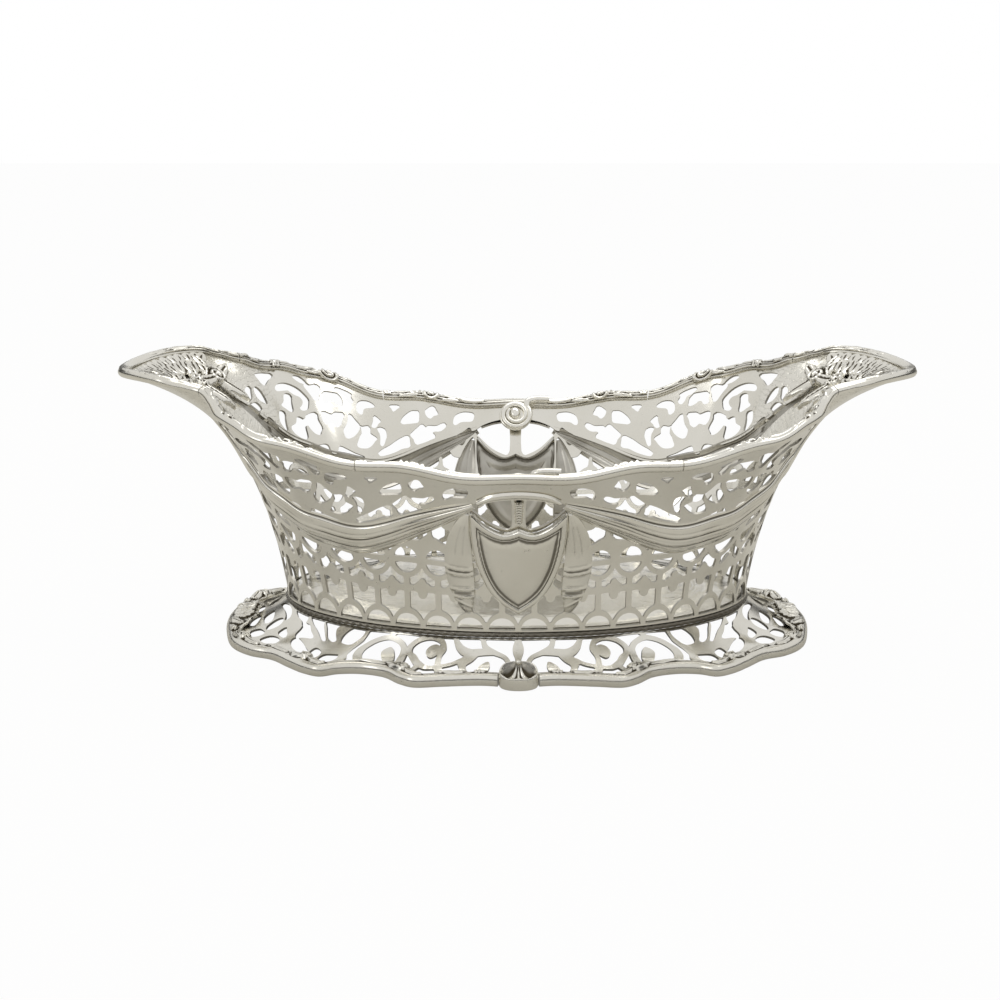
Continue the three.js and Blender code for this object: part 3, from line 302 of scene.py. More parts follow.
def flat_sheet(name, columns, rows):
    """A sheet over the unit square, cut into cells."""
    bpy.ops.object.select_all(action="DESELECT")
    bpy.ops.mesh.primitive_grid_add(
        x_subdivisions=columns, y_subdivisions=rows, size=1, location=(.5, .5, 0))
    bpy.ops.object.transform_apply(location=True, rotation=True, scale=True)
    sheet = bpy.context.object
    sheet.name = sheet.data.name = name
    return sheet


def bent(name, columns, rows, place):
    """A flat sheet whose every point (s, t) is moved to place(s, t), in millimetres."""
    sheet = flat_sheet(name, columns, rows)
    flat = points_of(sheet)
    move_points(sheet, place(flat[:, 0], flat[:, 1]) * MM)
    return sheet


def twin(piece, name, x_sign, y_sign):
    """A mirror image of a piece, with a mesh of its own."""
    select_only(piece)
    bpy.ops.object.duplicate(linked=False)
    copy = bpy.context.object
    copy.name = copy.data.name = name
    move_points(copy, points_of(copy) * (x_sign, y_sign, 1))
    if x_sign * y_sign < 0:
        copy.data.flip_normals()
    return copy


QUARTERS = [("front_right", 1, 1), ("front_left", -1, 1), ("back_right", 1, -1), ("back_left", -1, -1)]
SIDES = [("front", 1, 1), ("back", 1, -1)]
ENDS = [("right", 1, 1), ("left", -1, 1)]
silvers = {"sheet_silver": [], "cast_silver": [], "field_silver": [], "floor_silver": []}


def finish_set(first, stem, slot, places):
    """Name a piece for the first of its places, copy it to the others, and tie each to the model."""
    first.name = first.data.name = f"{stem}_{places[0][0]}_silver"
    for name, x_sign, y_sign in places:
        label = f"{stem}_{name}_silver"
        piece = first if (x_sign, y_sign) == (1, 1) else twin(first, label, x_sign, y_sign)
        tie(piece, slot, f"{stem}_{name}")


def tie(piece, slot, node):
    """Fix a piece to the basket, and let it stand for its node of the CAD model."""
    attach(piece, "root")
    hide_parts(node)
    silvers[slot].append(piece)
    print(f"{piece.name}: {len(piece.data.polygons)} faces")


# %% [markdown]
# Piercing. A silversmith glues a paper pattern on the flat sheet, drills a hole in each opening and
# saws along the line. Boolean cutters could do that here, but hundreds of them leave ragged faces,
# and polished metal shows every one. So the pattern is kept as a height map that is positive where
# metal stays: an opening is a closed outline, a scroll is a line with a width, and the sheet is
# trimmed along the line where the height is zero, so that every face stays small and even.

# %% Lines, outlines and distances
def flowing(points, steps=7, closed=False):
    """A smooth line through a few points of any number of columns."""
    p = np.array(points, float)
    n = len(p)
    rows = []
    for i in range(n if closed else n - 1):
        if closed:
            q = [p[(i + k) % n] for k in (-1, 0, 1, 2)]
        else:
            q = [p[min(max(i + k, 0), n - 1)] for k in (-1, 0, 1, 2)]
        t = np.linspace(0, 1, steps, endpoint=False)[:, None]
        rows.append(.5 * (2 * q[1] + (q[2] - q[0]) * t + (2 * q[0] - 5 * q[1] + 4 * q[2] - q[3]) * t ** 2
                          + (3 * q[1] - q[0] - 3 * q[2] + q[3]) * t ** 3))
    return np.vstack(rows if closed else rows + [p[-1:]])


def read_line(line, step):
    """The place on a line of points at a step, which may lie between two of them."""
    return np.stack([np.interp(step, np.arange(len(line)), values) for values in line.T], -1)


def outline_height(points, outline):
    """Distance to a closed outline, above zero inside it."""
    ends = np.roll(outline, -1, axis=0)
    low, high = outline.min(0) - 3, outline.max(0) + 3
    near = ((points > low) & (points < high)).all(1)
    height = np.full(len(points), -3.0)
    p = points[near]
    best = np.full(len(p), 9e9)
    inside = np.zeros(len(p), bool)
    for a, b in zip(outline, ends):
        side = b - a
        t = np.clip(((p - a) @ side) / max(side @ side, 1e-9), 0, 1)
        best = np.minimum(best, ((p - a - t[:, None] * side) ** 2).sum(1))
        crosses = (a[1] > p[:, 1]) != (b[1] > p[:, 1])
        with np.errstate(divide="ignore", invalid="ignore"):
            cut = a[0] + (p[:, 1] - a[1]) * side[0] / side[1]
        inside ^= crosses & (p[:, 0] < cut)
    height[near] = np.where(inside, 1, -1) * np.sqrt(best)
    return height


def stroke_height(points, line):
    """Distance to a line of (x, y, half-width), above zero within its width."""
    height = np.full(len(points), -3.0)
    low, high = line[:, :2].min(0) - 7, line[:, :2].max(0) + 7
    near = ((points > low) & (points < high)).all(1)
    p = points[near]
    best = np.full(len(p), -3.0)
    for a, b in zip(line[:-1], line[1:]):
        side = b[:2] - a[:2]
        t = np.clip(((p - a[:2]) @ side) / max(side @ side, 1e-9), 0, 1)
        gap = np.sqrt(((p - a[:2] - t[:, None] * side) ** 2).sum(1))
        best = np.maximum(best, a[2] + (b[2] - a[2]) * t - gap)
    height[near] = best
    return height


def disc_height(points, x, y, radius):
    return radius - np.hypot(points[:, 0] - x, points[:, 1] - y)


# %% Trim a flat sheet along the zero line of its height map
def trimmed(name, width, height, columns, rows, metal):
    """A flat sheet in millimetres, kept where metal(points) is above zero."""
    xs, ys = np.linspace(0, width, columns + 1), np.linspace(0, height, rows + 1)
    grid = np.stack(np.meshgrid(xs, ys, indexing="ij"), -1).reshape(-1, 2)
    level = metal(grid)
    level = np.where(np.abs(level) < .02, .02, level)
    kept, faces, index = [], [], {}

    def vertex(key, place):
        if key not in index:
            index[key] = len(kept)
            kept.append(place)
        return index[key]

    stride = rows + 1
    for column in range(columns):
        for row in range(rows):
            corner = column * stride + row
            ring = (corner, corner + stride, corner + stride + 1, corner + 1)
            if max(level[list(ring)]) <= 0:
                continue
            face = []
            for here, there in zip(ring, ring[1:] + ring[:1]):
                if level[here] > 0:
                    face.append(vertex(here, grid[here]))
                if (level[here] > 0) != (level[there] > 0):
                    a, b = min(here, there), max(here, there)
                    t = np.clip(level[a] / (level[a] - level[b]), .06, .94)
                    face.append(vertex((a, b), grid[a] + (grid[b] - grid[a]) * t))
            if len(face) > 2:
                faces.append(face)
    mesh = bpy.data.meshes.new(name)
    mesh.from_pydata([(x, y, 0) for x, y in kept], [], faces)
    sheet = bpy.data.objects.new(name, mesh)
    bpy.context.scene.collection.objects.link(sheet)
    print(f"{name}: trimmed to {len(faces)} faces")
    return sheet


# %% [markdown]
# The lattice at the bottom of the wall has forty columns: a row of arches on the collar, upright
# bars from arch to ring, a cross band with a knob up and a drop down in each window, and a row of
# rings with a bar across them. Each opening is an outline that is drawn once and moved along.

# %% The lattice
WALL_WIDE = 1.05 * collar_loop.quarter
WALL_RISE = 66
WALL_TOP = .985
COLUMNS = 10
PITCH = 1 / COLUMNS
ARCH_FOOT, RING_MIDDLE = .008, .42
BAR_HALF = .09
half_turn = np.linspace(0, math.pi, 15)


def on_paper(outline):
    """An outline in (a, v) as it lies on the flat sheet, in millimetres."""
    return np.array(outline, float)[:, :2] * (WALL_WIDE, WALL_RISE)


def round_edge(dx, middle, wide, high, side):
    """Height of the nearest round edge over a place between two columns."""
    away = np.clip((.5 - abs(dx)) / wide, -1, 1)
    return middle + side * high * math.sqrt(1 - away * away)


def across(wide, count=9):
    return np.linspace(-wide, wide, count)


def arch(column):
    middle = (column + .5) * PITCH
    return [(middle + .42 * PITCH * math.cos(t), ARCH_FOOT + .078 * math.sin(t)) for t in half_turn]


def lower_window(gap):
    edge = .5 - BAR_HALF
    low = [(dx, round_edge(dx, ARCH_FOOT, .53, .11, 1)) for dx in across(edge, 13)]
    drop = [(edge, .222), (.17, .224), (.14, .208), (.13, .195), (.08, .184), (0, .18)]
    top = drop + [(-x, v) for x, v in drop[-2::-1]]
    return [((gap + dx) * PITCH, v) for dx, v in low + top]


def upper_window(gap):
    edge = .5 - BAR_HALF
    knob = [(-edge, .262), (-.25, .262), (-.22, .274), (-.15, .281), (-.11, .277), (-.11, .292),
            (-.06, .304), (0, .308)]
    low = knob + [(-x, v) for x, v in knob[-2::-1]]
    top = [(-dx, round_edge(dx, RING_MIDDLE, .535, .112, -1)) for dx in across(edge, 13)]
    return [((gap + dx) * PITCH, v) for dx, v in low + top]


def half_moon(column, side):
    middle = (column + .5) * PITCH
    bar = .19
    sweep = np.linspace(math.asin(bar), math.pi - math.asin(bar), 15)
    return [(middle + .375 * PITCH * math.cos(t), RING_MIDDLE + side * .084 * math.sin(t)) for t in sweep]


def crown_window(gap, top):
    """The opening over two neighbouring rings, up to the swag."""
    edge = .5 - .12
    low = [(dx, round_edge(dx, RING_MIDDLE, .535, .112, 1)) for dx in across(edge, 13)]
    return [((gap + dx) * PITCH, v) for dx, v in low + [(edge, top), (-edge, top)]]


lattice = []
for column in range(COLUMNS):
    lattice += [arch(column), half_moon(column, 1), half_moon(column, -1)]
for gap in range(COLUMNS + 1):
    lattice += [lower_window(gap), upper_window(gap)]
for gap, top in ((4, .56), (5, .5), (6, .5), (7, .54), (8, .6), (9, .63), (10, .6)):
    lattice.append(crown_window(gap, top))
print("openings in a quarter of the lattice:", len(lattice))

# %% [markdown]
# Over the lattice runs a panel of scrolls, a lily in an oval and leaves. What the saw takes out is
# drawn, and what it leaves is the scrollwork: stems hardly wider than the sheet is thick. Each
# opening is a ring of corners with a smooth line through them. The corners were read on a
# flattened view of the photograph, and the two halves of the wall averaged. Behind the swags, tails
# and shields the sheet is cut away too, because their hollow backs show inside the bowl.

# %% The scroll panel
MIDDLE_CUT, END_CUT = .8, .45  # how far outside its drawn line an opening is sawn, in millimetres
SCROLLS = [
    # beside and over the shield
    [(.028, .694), (.05, .69), (.085, .727), (.12, .788), (.136, .822), (.118, .85), (.085, .872),
     (.05, .883), (.03, .88)],
    [(.153, .930), (.159, .936), (.181, .936), (.197, .926), (.211, .907), (.217, .866),
     (.200, .887), (.181, .895), (.159, .899), (.155, .916)],
    [(.165, .836), (.174, .823), (.187, .805), (.199, .792), (.208, .778), (.209, .765),
     (.202, .756), (.196, .740), (.189, .754), (.180, .787), (.171, .814)],
    [(.206, .630), (.207, .637), (.221, .640), (.233, .652), (.238, .666), (.244, .672),
     (.258, .675), (.257, .600), (.254, .589), (.244, .582), (.236, .573), (.225, .560),
     (.219, .562), (.210, .591), (.207, .608)],
    [(.287, .639), (.288, .647), (.298, .633), (.312, .613), (.326, .597), (.344, .572),
     (.337, .564), (.307, .564), (.298, .579), (.287, .595), (.284, .611)],
    # first scroll with its bulb
    [(.283, .912), (.289, .927), (.293, .941), (.301, .938), (.311, .925), (.318, .914),
     (.316, .896), (.307, .883), (.299, .899), (.289, .906)],
    [(.254, .848), (.263, .843), (.279, .826), (.293, .821), (.309, .819), (.313, .816),
     (.304, .809), (.290, .808), (.274, .812), (.260, .831)],
    # quarter round, diamond and the opening under the fin
    [(.351, .899), (.354, .901), (.369, .901), (.381, .888), (.394, .867), (.400, .843),
     (.386, .843), (.369, .846), (.355, .850), (.352, .863)],
    [(.294, .769), (.317, .795), (.332, .818), (.337, .822), (.343, .813), (.369, .772),
     (.372, .764), (.363, .746), (.357, .719), (.349, .721), (.326, .736), (.306, .754)],
    [(.387, .751), (.397, .748), (.417, .728), (.439, .698), (.459, .674), (.476, .644),
     (.459, .654), (.431, .674), (.408, .694), (.386, .701), (.386, .728)],
    # second scroll
    [(.454, .786), (.457, .797), (.467, .801), (.472, .790), (.467, .767), (.466, .740),
     (.469, .702), (.465, .704), (.459, .731), (.454, .758)],
    [(.465, .842), (.471, .854), (.478, .863), (.480, .836), (.487, .800), (.484, .798),
     (.477, .813), (.472, .831)],
    [(.409, .937), (.415, .941), (.432, .940), (.426, .926), (.424, .911), (.420, .922),
     (.413, .930)],
    [(.476, .925), (.487, .938), (.502, .930), (.512, .915), (.518, .893), (.521, .857),
     (.514, .853), (.508, .885), (.500, .900), (.487, .912)],
    [(.530, .916), (.543, .913), (.539, .886)],
    [(.531, .945), (.556, .949), (.565, .942), (.562, .930), (.550, .925), (.537, .934)],
    # the lily in its oval
    [(.559, .901), (.563, .910), (.569, .914), (.578, .911), (.591, .910), (.596, .897),
     (.598, .877), (.602, .853), (.596, .853), (.590, .871), (.581, .875), (.576, .869),
     (.571, .860), (.561, .860), (.559, .877)],
    [(.602, .931), (.608, .942), (.617, .933), (.633, .925), (.628, .900), (.623, .876),
     (.620, .857), (.616, .862), (.610, .891), (.605, .917)],
    [(.629, .945), (.639, .966), (.653, .956), (.642, .941)],
    # third scroll
    [(.640, .859), (.645, .876), (.655, .896), (.671, .907), (.685, .911), (.702, .905),
     (.714, .885), (.706, .883), (.691, .887), (.681, .886), (.671, .867), (.659, .862),
     (.653, .849), (.652, .837), (.655, .820), (.663, .801), (.669, .793), (.663, .793),
     (.653, .803), (.648, .815), (.641, .845)],
    [(.683, .855), (.689, .861), (.696, .857), (.701, .841), (.707, .819), (.717, .808),
     (.711, .801), (.703, .785), (.695, .783), (.691, .812), (.687, .835)],
    [(.722, .770), (.726, .777), (.735, .776), (.743, .759), (.751, .727), (.749, .708),
     (.744, .692), (.738, .694), (.735, .717), (.729, .745)],
    [(.630, .788), (.641, .783), (.651, .770), (.662, .755), (.664, .727), (.662, .707),
     (.655, .687), (.646, .680), (.639, .687), (.635, .702), (.629, .717), (.630, .738),
     (.633, .763)],
    [(.674, .739), (.687, .748), (.696, .719), (.708, .709), (.717, .700), (.717, .687),
     (.710, .670), (.696, .653), (.684, .650), (.680, .670), (.678, .700), (.674, .724)],
    [(.562, .813), (.574, .809), (.583, .805), (.590, .793), (.595, .786), (.599, .796),
     (.611, .803), (.615, .791), (.617, .762), (.613, .742), (.609, .745), (.601, .752),
     (.593, .750), (.589, .735), (.585, .740), (.578, .750), (.570, .786)],
    [(.526, .780), (.535, .799), (.542, .819), (.545, .819), (.548, .802), (.553, .770),
     (.562, .741), (.569, .719), (.568, .687), (.559, .692), (.548, .709), (.538, .731),
     (.531, .755)],
    [(.482, .736), (.498, .749), (.500, .761), (.498, .791), (.509, .781), (.517, .771),
     (.519, .736), (.526, .712), (.533, .682), (.539, .655), (.529, .655), (.512, .667),
     (.498, .694), (.488, .722)],
    [(.528, .599), (.552, .604), (.573, .615), (.592, .627), (.597, .607), (.606, .582),
     (.589, .579), (.561, .585), (.536, .593)],
    [(.628, .627), (.637, .627), (.652, .616), (.674, .612), (.692, .608), (.681, .595),
     (.669, .590), (.656, .582), (.642, .582), (.626, .590), (.627, .606)],
    [(.707, .955), (.719, .958), (.733, .958), (.748, .951), (.762, .940), (.758, .922),
     (.753, .903), (.741, .913), (.726, .933)],
    # leaves towards the handle
    [(.772, .820), (.773, .847), (.777, .865), (.783, .869), (.788, .852), (.791, .831),
     (.788, .815), (.780, .807), (.774, .804)],
    [(.800, .864), (.809, .855), (.820, .841), (.828, .823), (.836, .808), (.848, .803),
     (.844, .794), (.831, .798), (.815, .817), (.807, .841)],
    [(.798, .772), (.806, .788), (.821, .780), (.845, .765), (.837, .753), (.828, .743),
     (.819, .748), (.806, .767)],
    [(.777, .705), (.781, .719), (.787, .728), (.792, .723), (.800, .707), (.792, .693),
     (.783, .687), (.777, .673), (.772, .673)],
]
SWAG_LINE = [
    (.134, .835, 1.3), (.2, .77, 2.9), (.3, .665, 4.3), (.4, .575, 5.3), (.52, .51, 5.8), (.64, .525, 5.6),
    (.74, .6, 4.6), (.83, .71, 3.2), (.89, .811, 1.8),
]
TAIL_LINE = [
    (.154, .775, 1.3), (.167, .69, 3.1), (.179, .58, 4.5), (.183, .46, 5.1), (.176, .32, 4.9),
    (.162, .19, 3.2), (.152, .12, 1.2),
]
SHIELD_LINE = [
    (0, .682), (.045, .657), (.098, .714), (.144, .81), (.146, .735), (.144, .62), (.135, .5),
    (.119, .384), (.09, .265), (.05, .178), (0, .112),
]


def paper_line(stations):
    """A line of (a, v, half-width) as it lies on the flat sheet."""
    line = flowing(stations, 9)
    line[:, :2] *= (WALL_WIDE, WALL_RISE)
    return line


def shield_outline(share=1.0):
    """The shield's outline on the flat sheet, about its middle."""
    half = flowing([(a * WALL_WIDE, v * WALL_RISE) for a, v in SHIELD_LINE[:4]], 4)[:-1]
    side = flowing([(a * WALL_WIDE, v * WALL_RISE) for a, v in SHIELD_LINE[3:]], 4)
    half = np.vstack([half, side])
    whole = np.vstack([half, half[-2:0:-1] * (-1, 1)])
    middle = np.array([0, .46 * WALL_RISE])
    return (whole - middle) * share + middle


def wall_metal(points):
    """How far a place of the flat sheet lies inside its metal."""
    level = np.full(len(points), 3.0)
    for outline in lattice:
        level = np.minimum(level, -outline_height(points, on_paper(outline)))
    for corners in SCROLLS:
        saw = MIDDLE_CUT if corners[0][0] < .4 else END_CUT
        outline = flowing(on_paper(corners), 3, closed=True)
        level = np.minimum(level, -outline_height(points, outline) - saw)
    for stations, margin in ((SWAG_LINE, 1.1), (TAIL_LINE, .5)):
        line = paper_line(stations) - (0, 0, margin)
        level = np.minimum(level, -stroke_height(points, line))
    return np.minimum(level, -outline_height(points, shield_outline(.96)))


# %% [markdown]
# The trimmed quarter is bent round the bowl, mirrored twice, and given the thickness of the sheet.

# %% The bowl's wall
def doubled_sheet(quarter, thickness):
    """A quarter sheet mirrored to all four quarters and thickened inwards, its sawn edges marked."""
    for _ in range(2):
        quarter.data.materials.append(None)
    apply_modifier(quarter, "MIRROR", use_axis=(True, True, False), merge_threshold=3e-5)
    clean(quarter, 3e-6)
    apply_modifier(quarter, "SOLIDIFY", thickness=thickness * MM, offset=-1, material_offset_rim=1)


def keep_pattern(sheet, places):
    """Keep where each point lay on the flat pattern, for the chasing that is drawn there."""
    corners = np.empty(len(sheet.data.loops), np.int32)
    sheet.data.loops.foreach_get("vertex_index", corners)
    layer = sheet.data.uv_layers.new(name="pattern")
    layer.data.foreach_set("uv", places[corners].astype(np.float32).ravel())


wall_sheet = trimmed("bowl_wall_silver", WALL_WIDE, WALL_TOP * WALL_RISE, 174, 95, wall_metal)
flat = points_of(wall_sheet)
keep_pattern(wall_sheet, flat[:, :2] / (WALL_WIDE, WALL_RISE))
move_points(wall_sheet, bowl(flat[:, 0] / WALL_WIDE, flat[:, 1] / WALL_RISE) * MM)
doubled_sheet(wall_sheet, SHEET)
smooth(wall_sheet)
tie(wall_sheet, "sheet_silver", "bowl_wall")

# %% [markdown]
# The foot's sheet is far more open than the wall: thin stems, leaves and curls between the collar
# and the border. Here it is the metal that is drawn, as lines that swell and taper. Towards the ends
# the stems run so close together that the openings are drawn instead, as on the wall.

# %% The pierced foot
FOOT_WIDE, FOOT_DEEP = 1.15 * collar_loop.quarter, 23
FOOT_STEMS = [
    # petal over the shell, its stem, wing and bud
    [(0, -.04, .3), (0, .1, 1.6), (0, .24, 2.3), (0, .4, 1.5), (0, .6, .6)],
    [(.03, 1.04, 1.2), (.026, .8, 1), (.028, .6, 1), (.04, .42, 1), (.07, .31, 1.2), (.098, .17, 1),
     (.112, -.04, 1)],
    [(.07, .32, 1.2), (.1, .31, 1.9), (.135, .33, 2.1), (.163, .24, 1.5), (.185, .1, 1), (.2, -.04, 1)],
    [(.12, .34, 1.8), (.135, .5, 2.4), (.14, .62, 1.6), (.135, .75, 1), (.12, 1.04, 1.2)],
    [(.082, .58, .6), (.086, .7, 1.5), (.088, .85, 1.6), (.088, 1.04, 1.6)],
    [(.15, .5, 1), (.17, .62, 1.1), (.2, .7, 1.2)],
    # first curl, round its disc
    [(.17, 1.04, 1.3), (.19, .8, 1.1), (.204, .6, 1), (.214, .42, 1), (.213, .25, 1), (.233, .1, 1),
     (.27, .04, 1.1), (.308, .11, 1.1), (.328, .27, 1.1), (.324, .42, 1.2), (.305, .52, 1.9),
     (.285, .62, 1.9), (.25, .7, 1.4), (.2, .72, 1.1)],
    [(.27, .66, 1.2), (.28, .8, 1.2), (.29, 1.04, 1.4)],
    # second curl, over a leaf
    [(.33, 1.04, 1.3), (.336, .75, 1.1), (.338, .5, 1.1), (.345, .33, 1.1), (.365, .2, 1.2),
     (.4, .13, 1.3), (.432, .22, 1.4), (.446, .4, 1.4), (.443, .58, 1.3), (.428, .78, 1.2),
     (.405, 1.04, 1.3)],
    [(.385, -.04, 1), (.398, .06, 1), (.408, .15, 1)],
    [(.38, .38, .6), (.378, .5, 2), (.366, .7, 1.9), (.36, .85, 1.3), (.352, 1.04, 1)],
]
FOOT_DISCS = [(.246, .31, 3.3)]
FOOT_END = [(.49, -.1), (.475, .1), (.466, .25), (.468, .45), (.462, .62), (.45, .8), (.44, 1.1),
            (1.06, 1.1), (1.06, -.1)]
FOOT_OPENINGS = [
    [(.502, .03), (.53, .02), (.548, .1), (.552, .22), (.54, .33), (.51, .35), (.492, .3), (.488, .15)],
    [(.6, .02), (.655, .01), (.635, .12), (.605, .28), (.575, .36), (.566, .34), (.585, .24), (.6, .12)],
    [(.675, .01), (.73, 0), (.7, .1), (.66, .22), (.62, .36), (.6, .4), (.625, .28), (.655, .13)],
    [(.76, .03), (.83, 0), (.79, .08), (.75, .13), (.725, .21), (.735, .1)],
    [(.7, .2), (.722, .19), (.712, .3), (.705, .42), (.69, .5), (.672, .46), (.65, .42), (.675, .32)],
    [(.735, .5), (.755, .44), (.772, .38), (.77, .5), (.745, .56), (.722, .58)],
    [(.812, .4), (.825, .3), (.845, .28), (.86, .36), (.855, .5), (.838, .57), (.82, .55)],
    [(.875, .44), (.9, .37), (.945, .33), (.955, .42), (.94, .52), (.9, .54), (.878, .52)],
    [(.815, .2), (.835, .12), (.87, .07), (.92, .08), (.96, .15), (.925, .14), (.88, .14), (.84, .19),
     (.82, .25)],
    [(.608, .78), (.635, .7), (.665, .6), (.69, .53), (.688, .62), (.672, .75), (.65, .85), (.615, .88)],
    [(.905, .75), (.93, .66), (.965, .6), (.975, .68), (.955, .78), (.92, .82)],
    [(.48, .7), (.5, .64), (.53, .66), (.55, .72), (.545, .86), (.51, .9), (.475, .88)],
    [(.57, .68), (.598, .62), (.6, .72), (.585, .86), (.565, .85)],
    [(.72, .7), (.75, .64), (.775, .68), (.775, .82), (.74, .88), (.715, .84)],
    [(.81, .68), (.835, .66), (.86, .7), (.865, .82), (.835, .88), (.81, .84)],
]


def foot_metal(points):
    """How far a place of the flat foot lies inside its metal."""
    level = outline_height(points, np.array(FOOT_END) * (FOOT_WIDE, FOOT_DEEP))
    for stations in FOOT_STEMS:
        line = flowing(stations, 6) * (FOOT_WIDE, FOOT_DEEP, 1)
        level = np.maximum(level, stroke_height(points, line))
    for b, w, radius in FOOT_DISCS:
        level = np.maximum(level, disc_height(points, b * FOOT_WIDE, w * FOOT_DEEP, radius))
    for corners in FOOT_OPENINGS:
        outline = flowing(corners, 3, closed=True) * (FOOT_WIDE, FOOT_DEEP)
        level = np.minimum(level, -outline_height(points, outline) - END_CUT)
    collar_edge, border_edge = .9 - points[:, 1], points[:, 1] - (FOOT_DEEP - 1.1)
    return np.maximum(level, np.maximum(collar_edge, border_edge))


foot_sheet = trimmed("foot_flange_silver", FOOT_WIDE, FOOT_DEEP, 210, 42, foot_metal)
flat = points_of(foot_sheet)
move_points(foot_sheet, foot(flat[:, 0] / FOOT_WIDE, flat[:, 1] / FOOT_DEEP) * MM)
foot_sheet.data.flip_normals()
doubled_sheet(foot_sheet, SHEET)
smooth(foot_sheet)
tie(foot_sheet, "sheet_silver", "foot_flange")

# %% [markdown]
# Cast work. The rim, the foot's border and the foliage on the handles are castings, modelled in wax
# with leaves, husks and scrolls before they were poured. Here each is a smooth section carried along
# its line, and the ornament is a relief: a few motifs, each a height over a small patch, laid where
# the photograph shows them. The highest motif wins at each point, as one lump of wax covers another.

# %% Motifs for relief
def leaf(x, y, x0, y0, degrees, length, width, lift, lobes=0):
    """An almond leaf with a sunk midrib, from its root at (x0, y0)."""
    c, s = math.cos(math.radians(degrees)), math.sin(math.radians(degrees))
    u = ((x - x0) * c + (y - y0) * s) / length
    w = ((y - y0) * c - (x - x0) * s) / (width / 2)
    on = (u > 0) & (u < 1)
    u = np.clip(u, 0, 1)
    edge = np.sin(math.pi * u ** .75) ** .8 + 1e-3
    if lobes:
        edge = edge * (1 - .14 * np.abs(np.sin(math.pi * lobes * u)))
    body = np.sqrt(np.clip(1 - (w / edge) ** 2, 0, 1))
    rib = np.exp(-(w / .16) ** 2)
    lifted = .75 + .45 * ease(u, .3, 1)
    return np.where(on, lift * body * lifted * (1 - .45 * rib), 0)


def bead(x, y, x0, y0, radius, lift, eye=0.0):
    far = np.hypot(x - x0, y - y0) / radius
    body = np.sqrt(np.clip(1 - far ** 2, 0, 1)) * lift
    return body * (1 - eye * np.exp(-(far / .3) ** 2))


def curl(x, y, x0, y0, radius, lift, hand=1, turns=1.5, wire=.8):
    """A scroll: a ridge that winds in to a ball."""
    far = np.hypot(x - x0, y - y0)
    around = np.mod(hand * np.arctan2(y - y0, x - x0), 2 * math.pi) / (2 * math.pi)
    height = bead(x, y, x0, y0, radius * .32, lift * 1.1)
    for lap in range(int(turns) + 1):
        track = radius * (1 - (around + lap) / (turns + .7))
        ridge = lift * np.exp(-((far - track) / wire) ** 2)
        height = np.maximum(height, np.where(track > radius * .25, ridge, 0))
    return height


def flower(x, y, x0, y0, radius, petals, lift):
    height = bead(x, y, x0, y0, radius * .36, lift * 1.25, .3)
    for k in range(petals):
        height = np.maximum(height, leaf(x, y, x0, y0, 360 * k / petals + 20, radius, radius * .95, lift))
    return height


MOTIFS = {"leaf": leaf, "bead": bead, "curl": curl, "flower": flower}


def relief(x, y, motifs):
    height = np.zeros(np.shape(x))
    for kind, *values in motifs:
        height = np.maximum(height, MOTIFS[kind](x, y, *values))
    return height


# %% [markdown]
# The rim is smooth and round outside, where it is held and rubbed. Its ornament is on top and
# inside: reeds in the middle, husks, round bosses at the knots, and leaves that grow denser towards
# the handles. It is cast in eight lengths, and the seams between them show in the photograph.

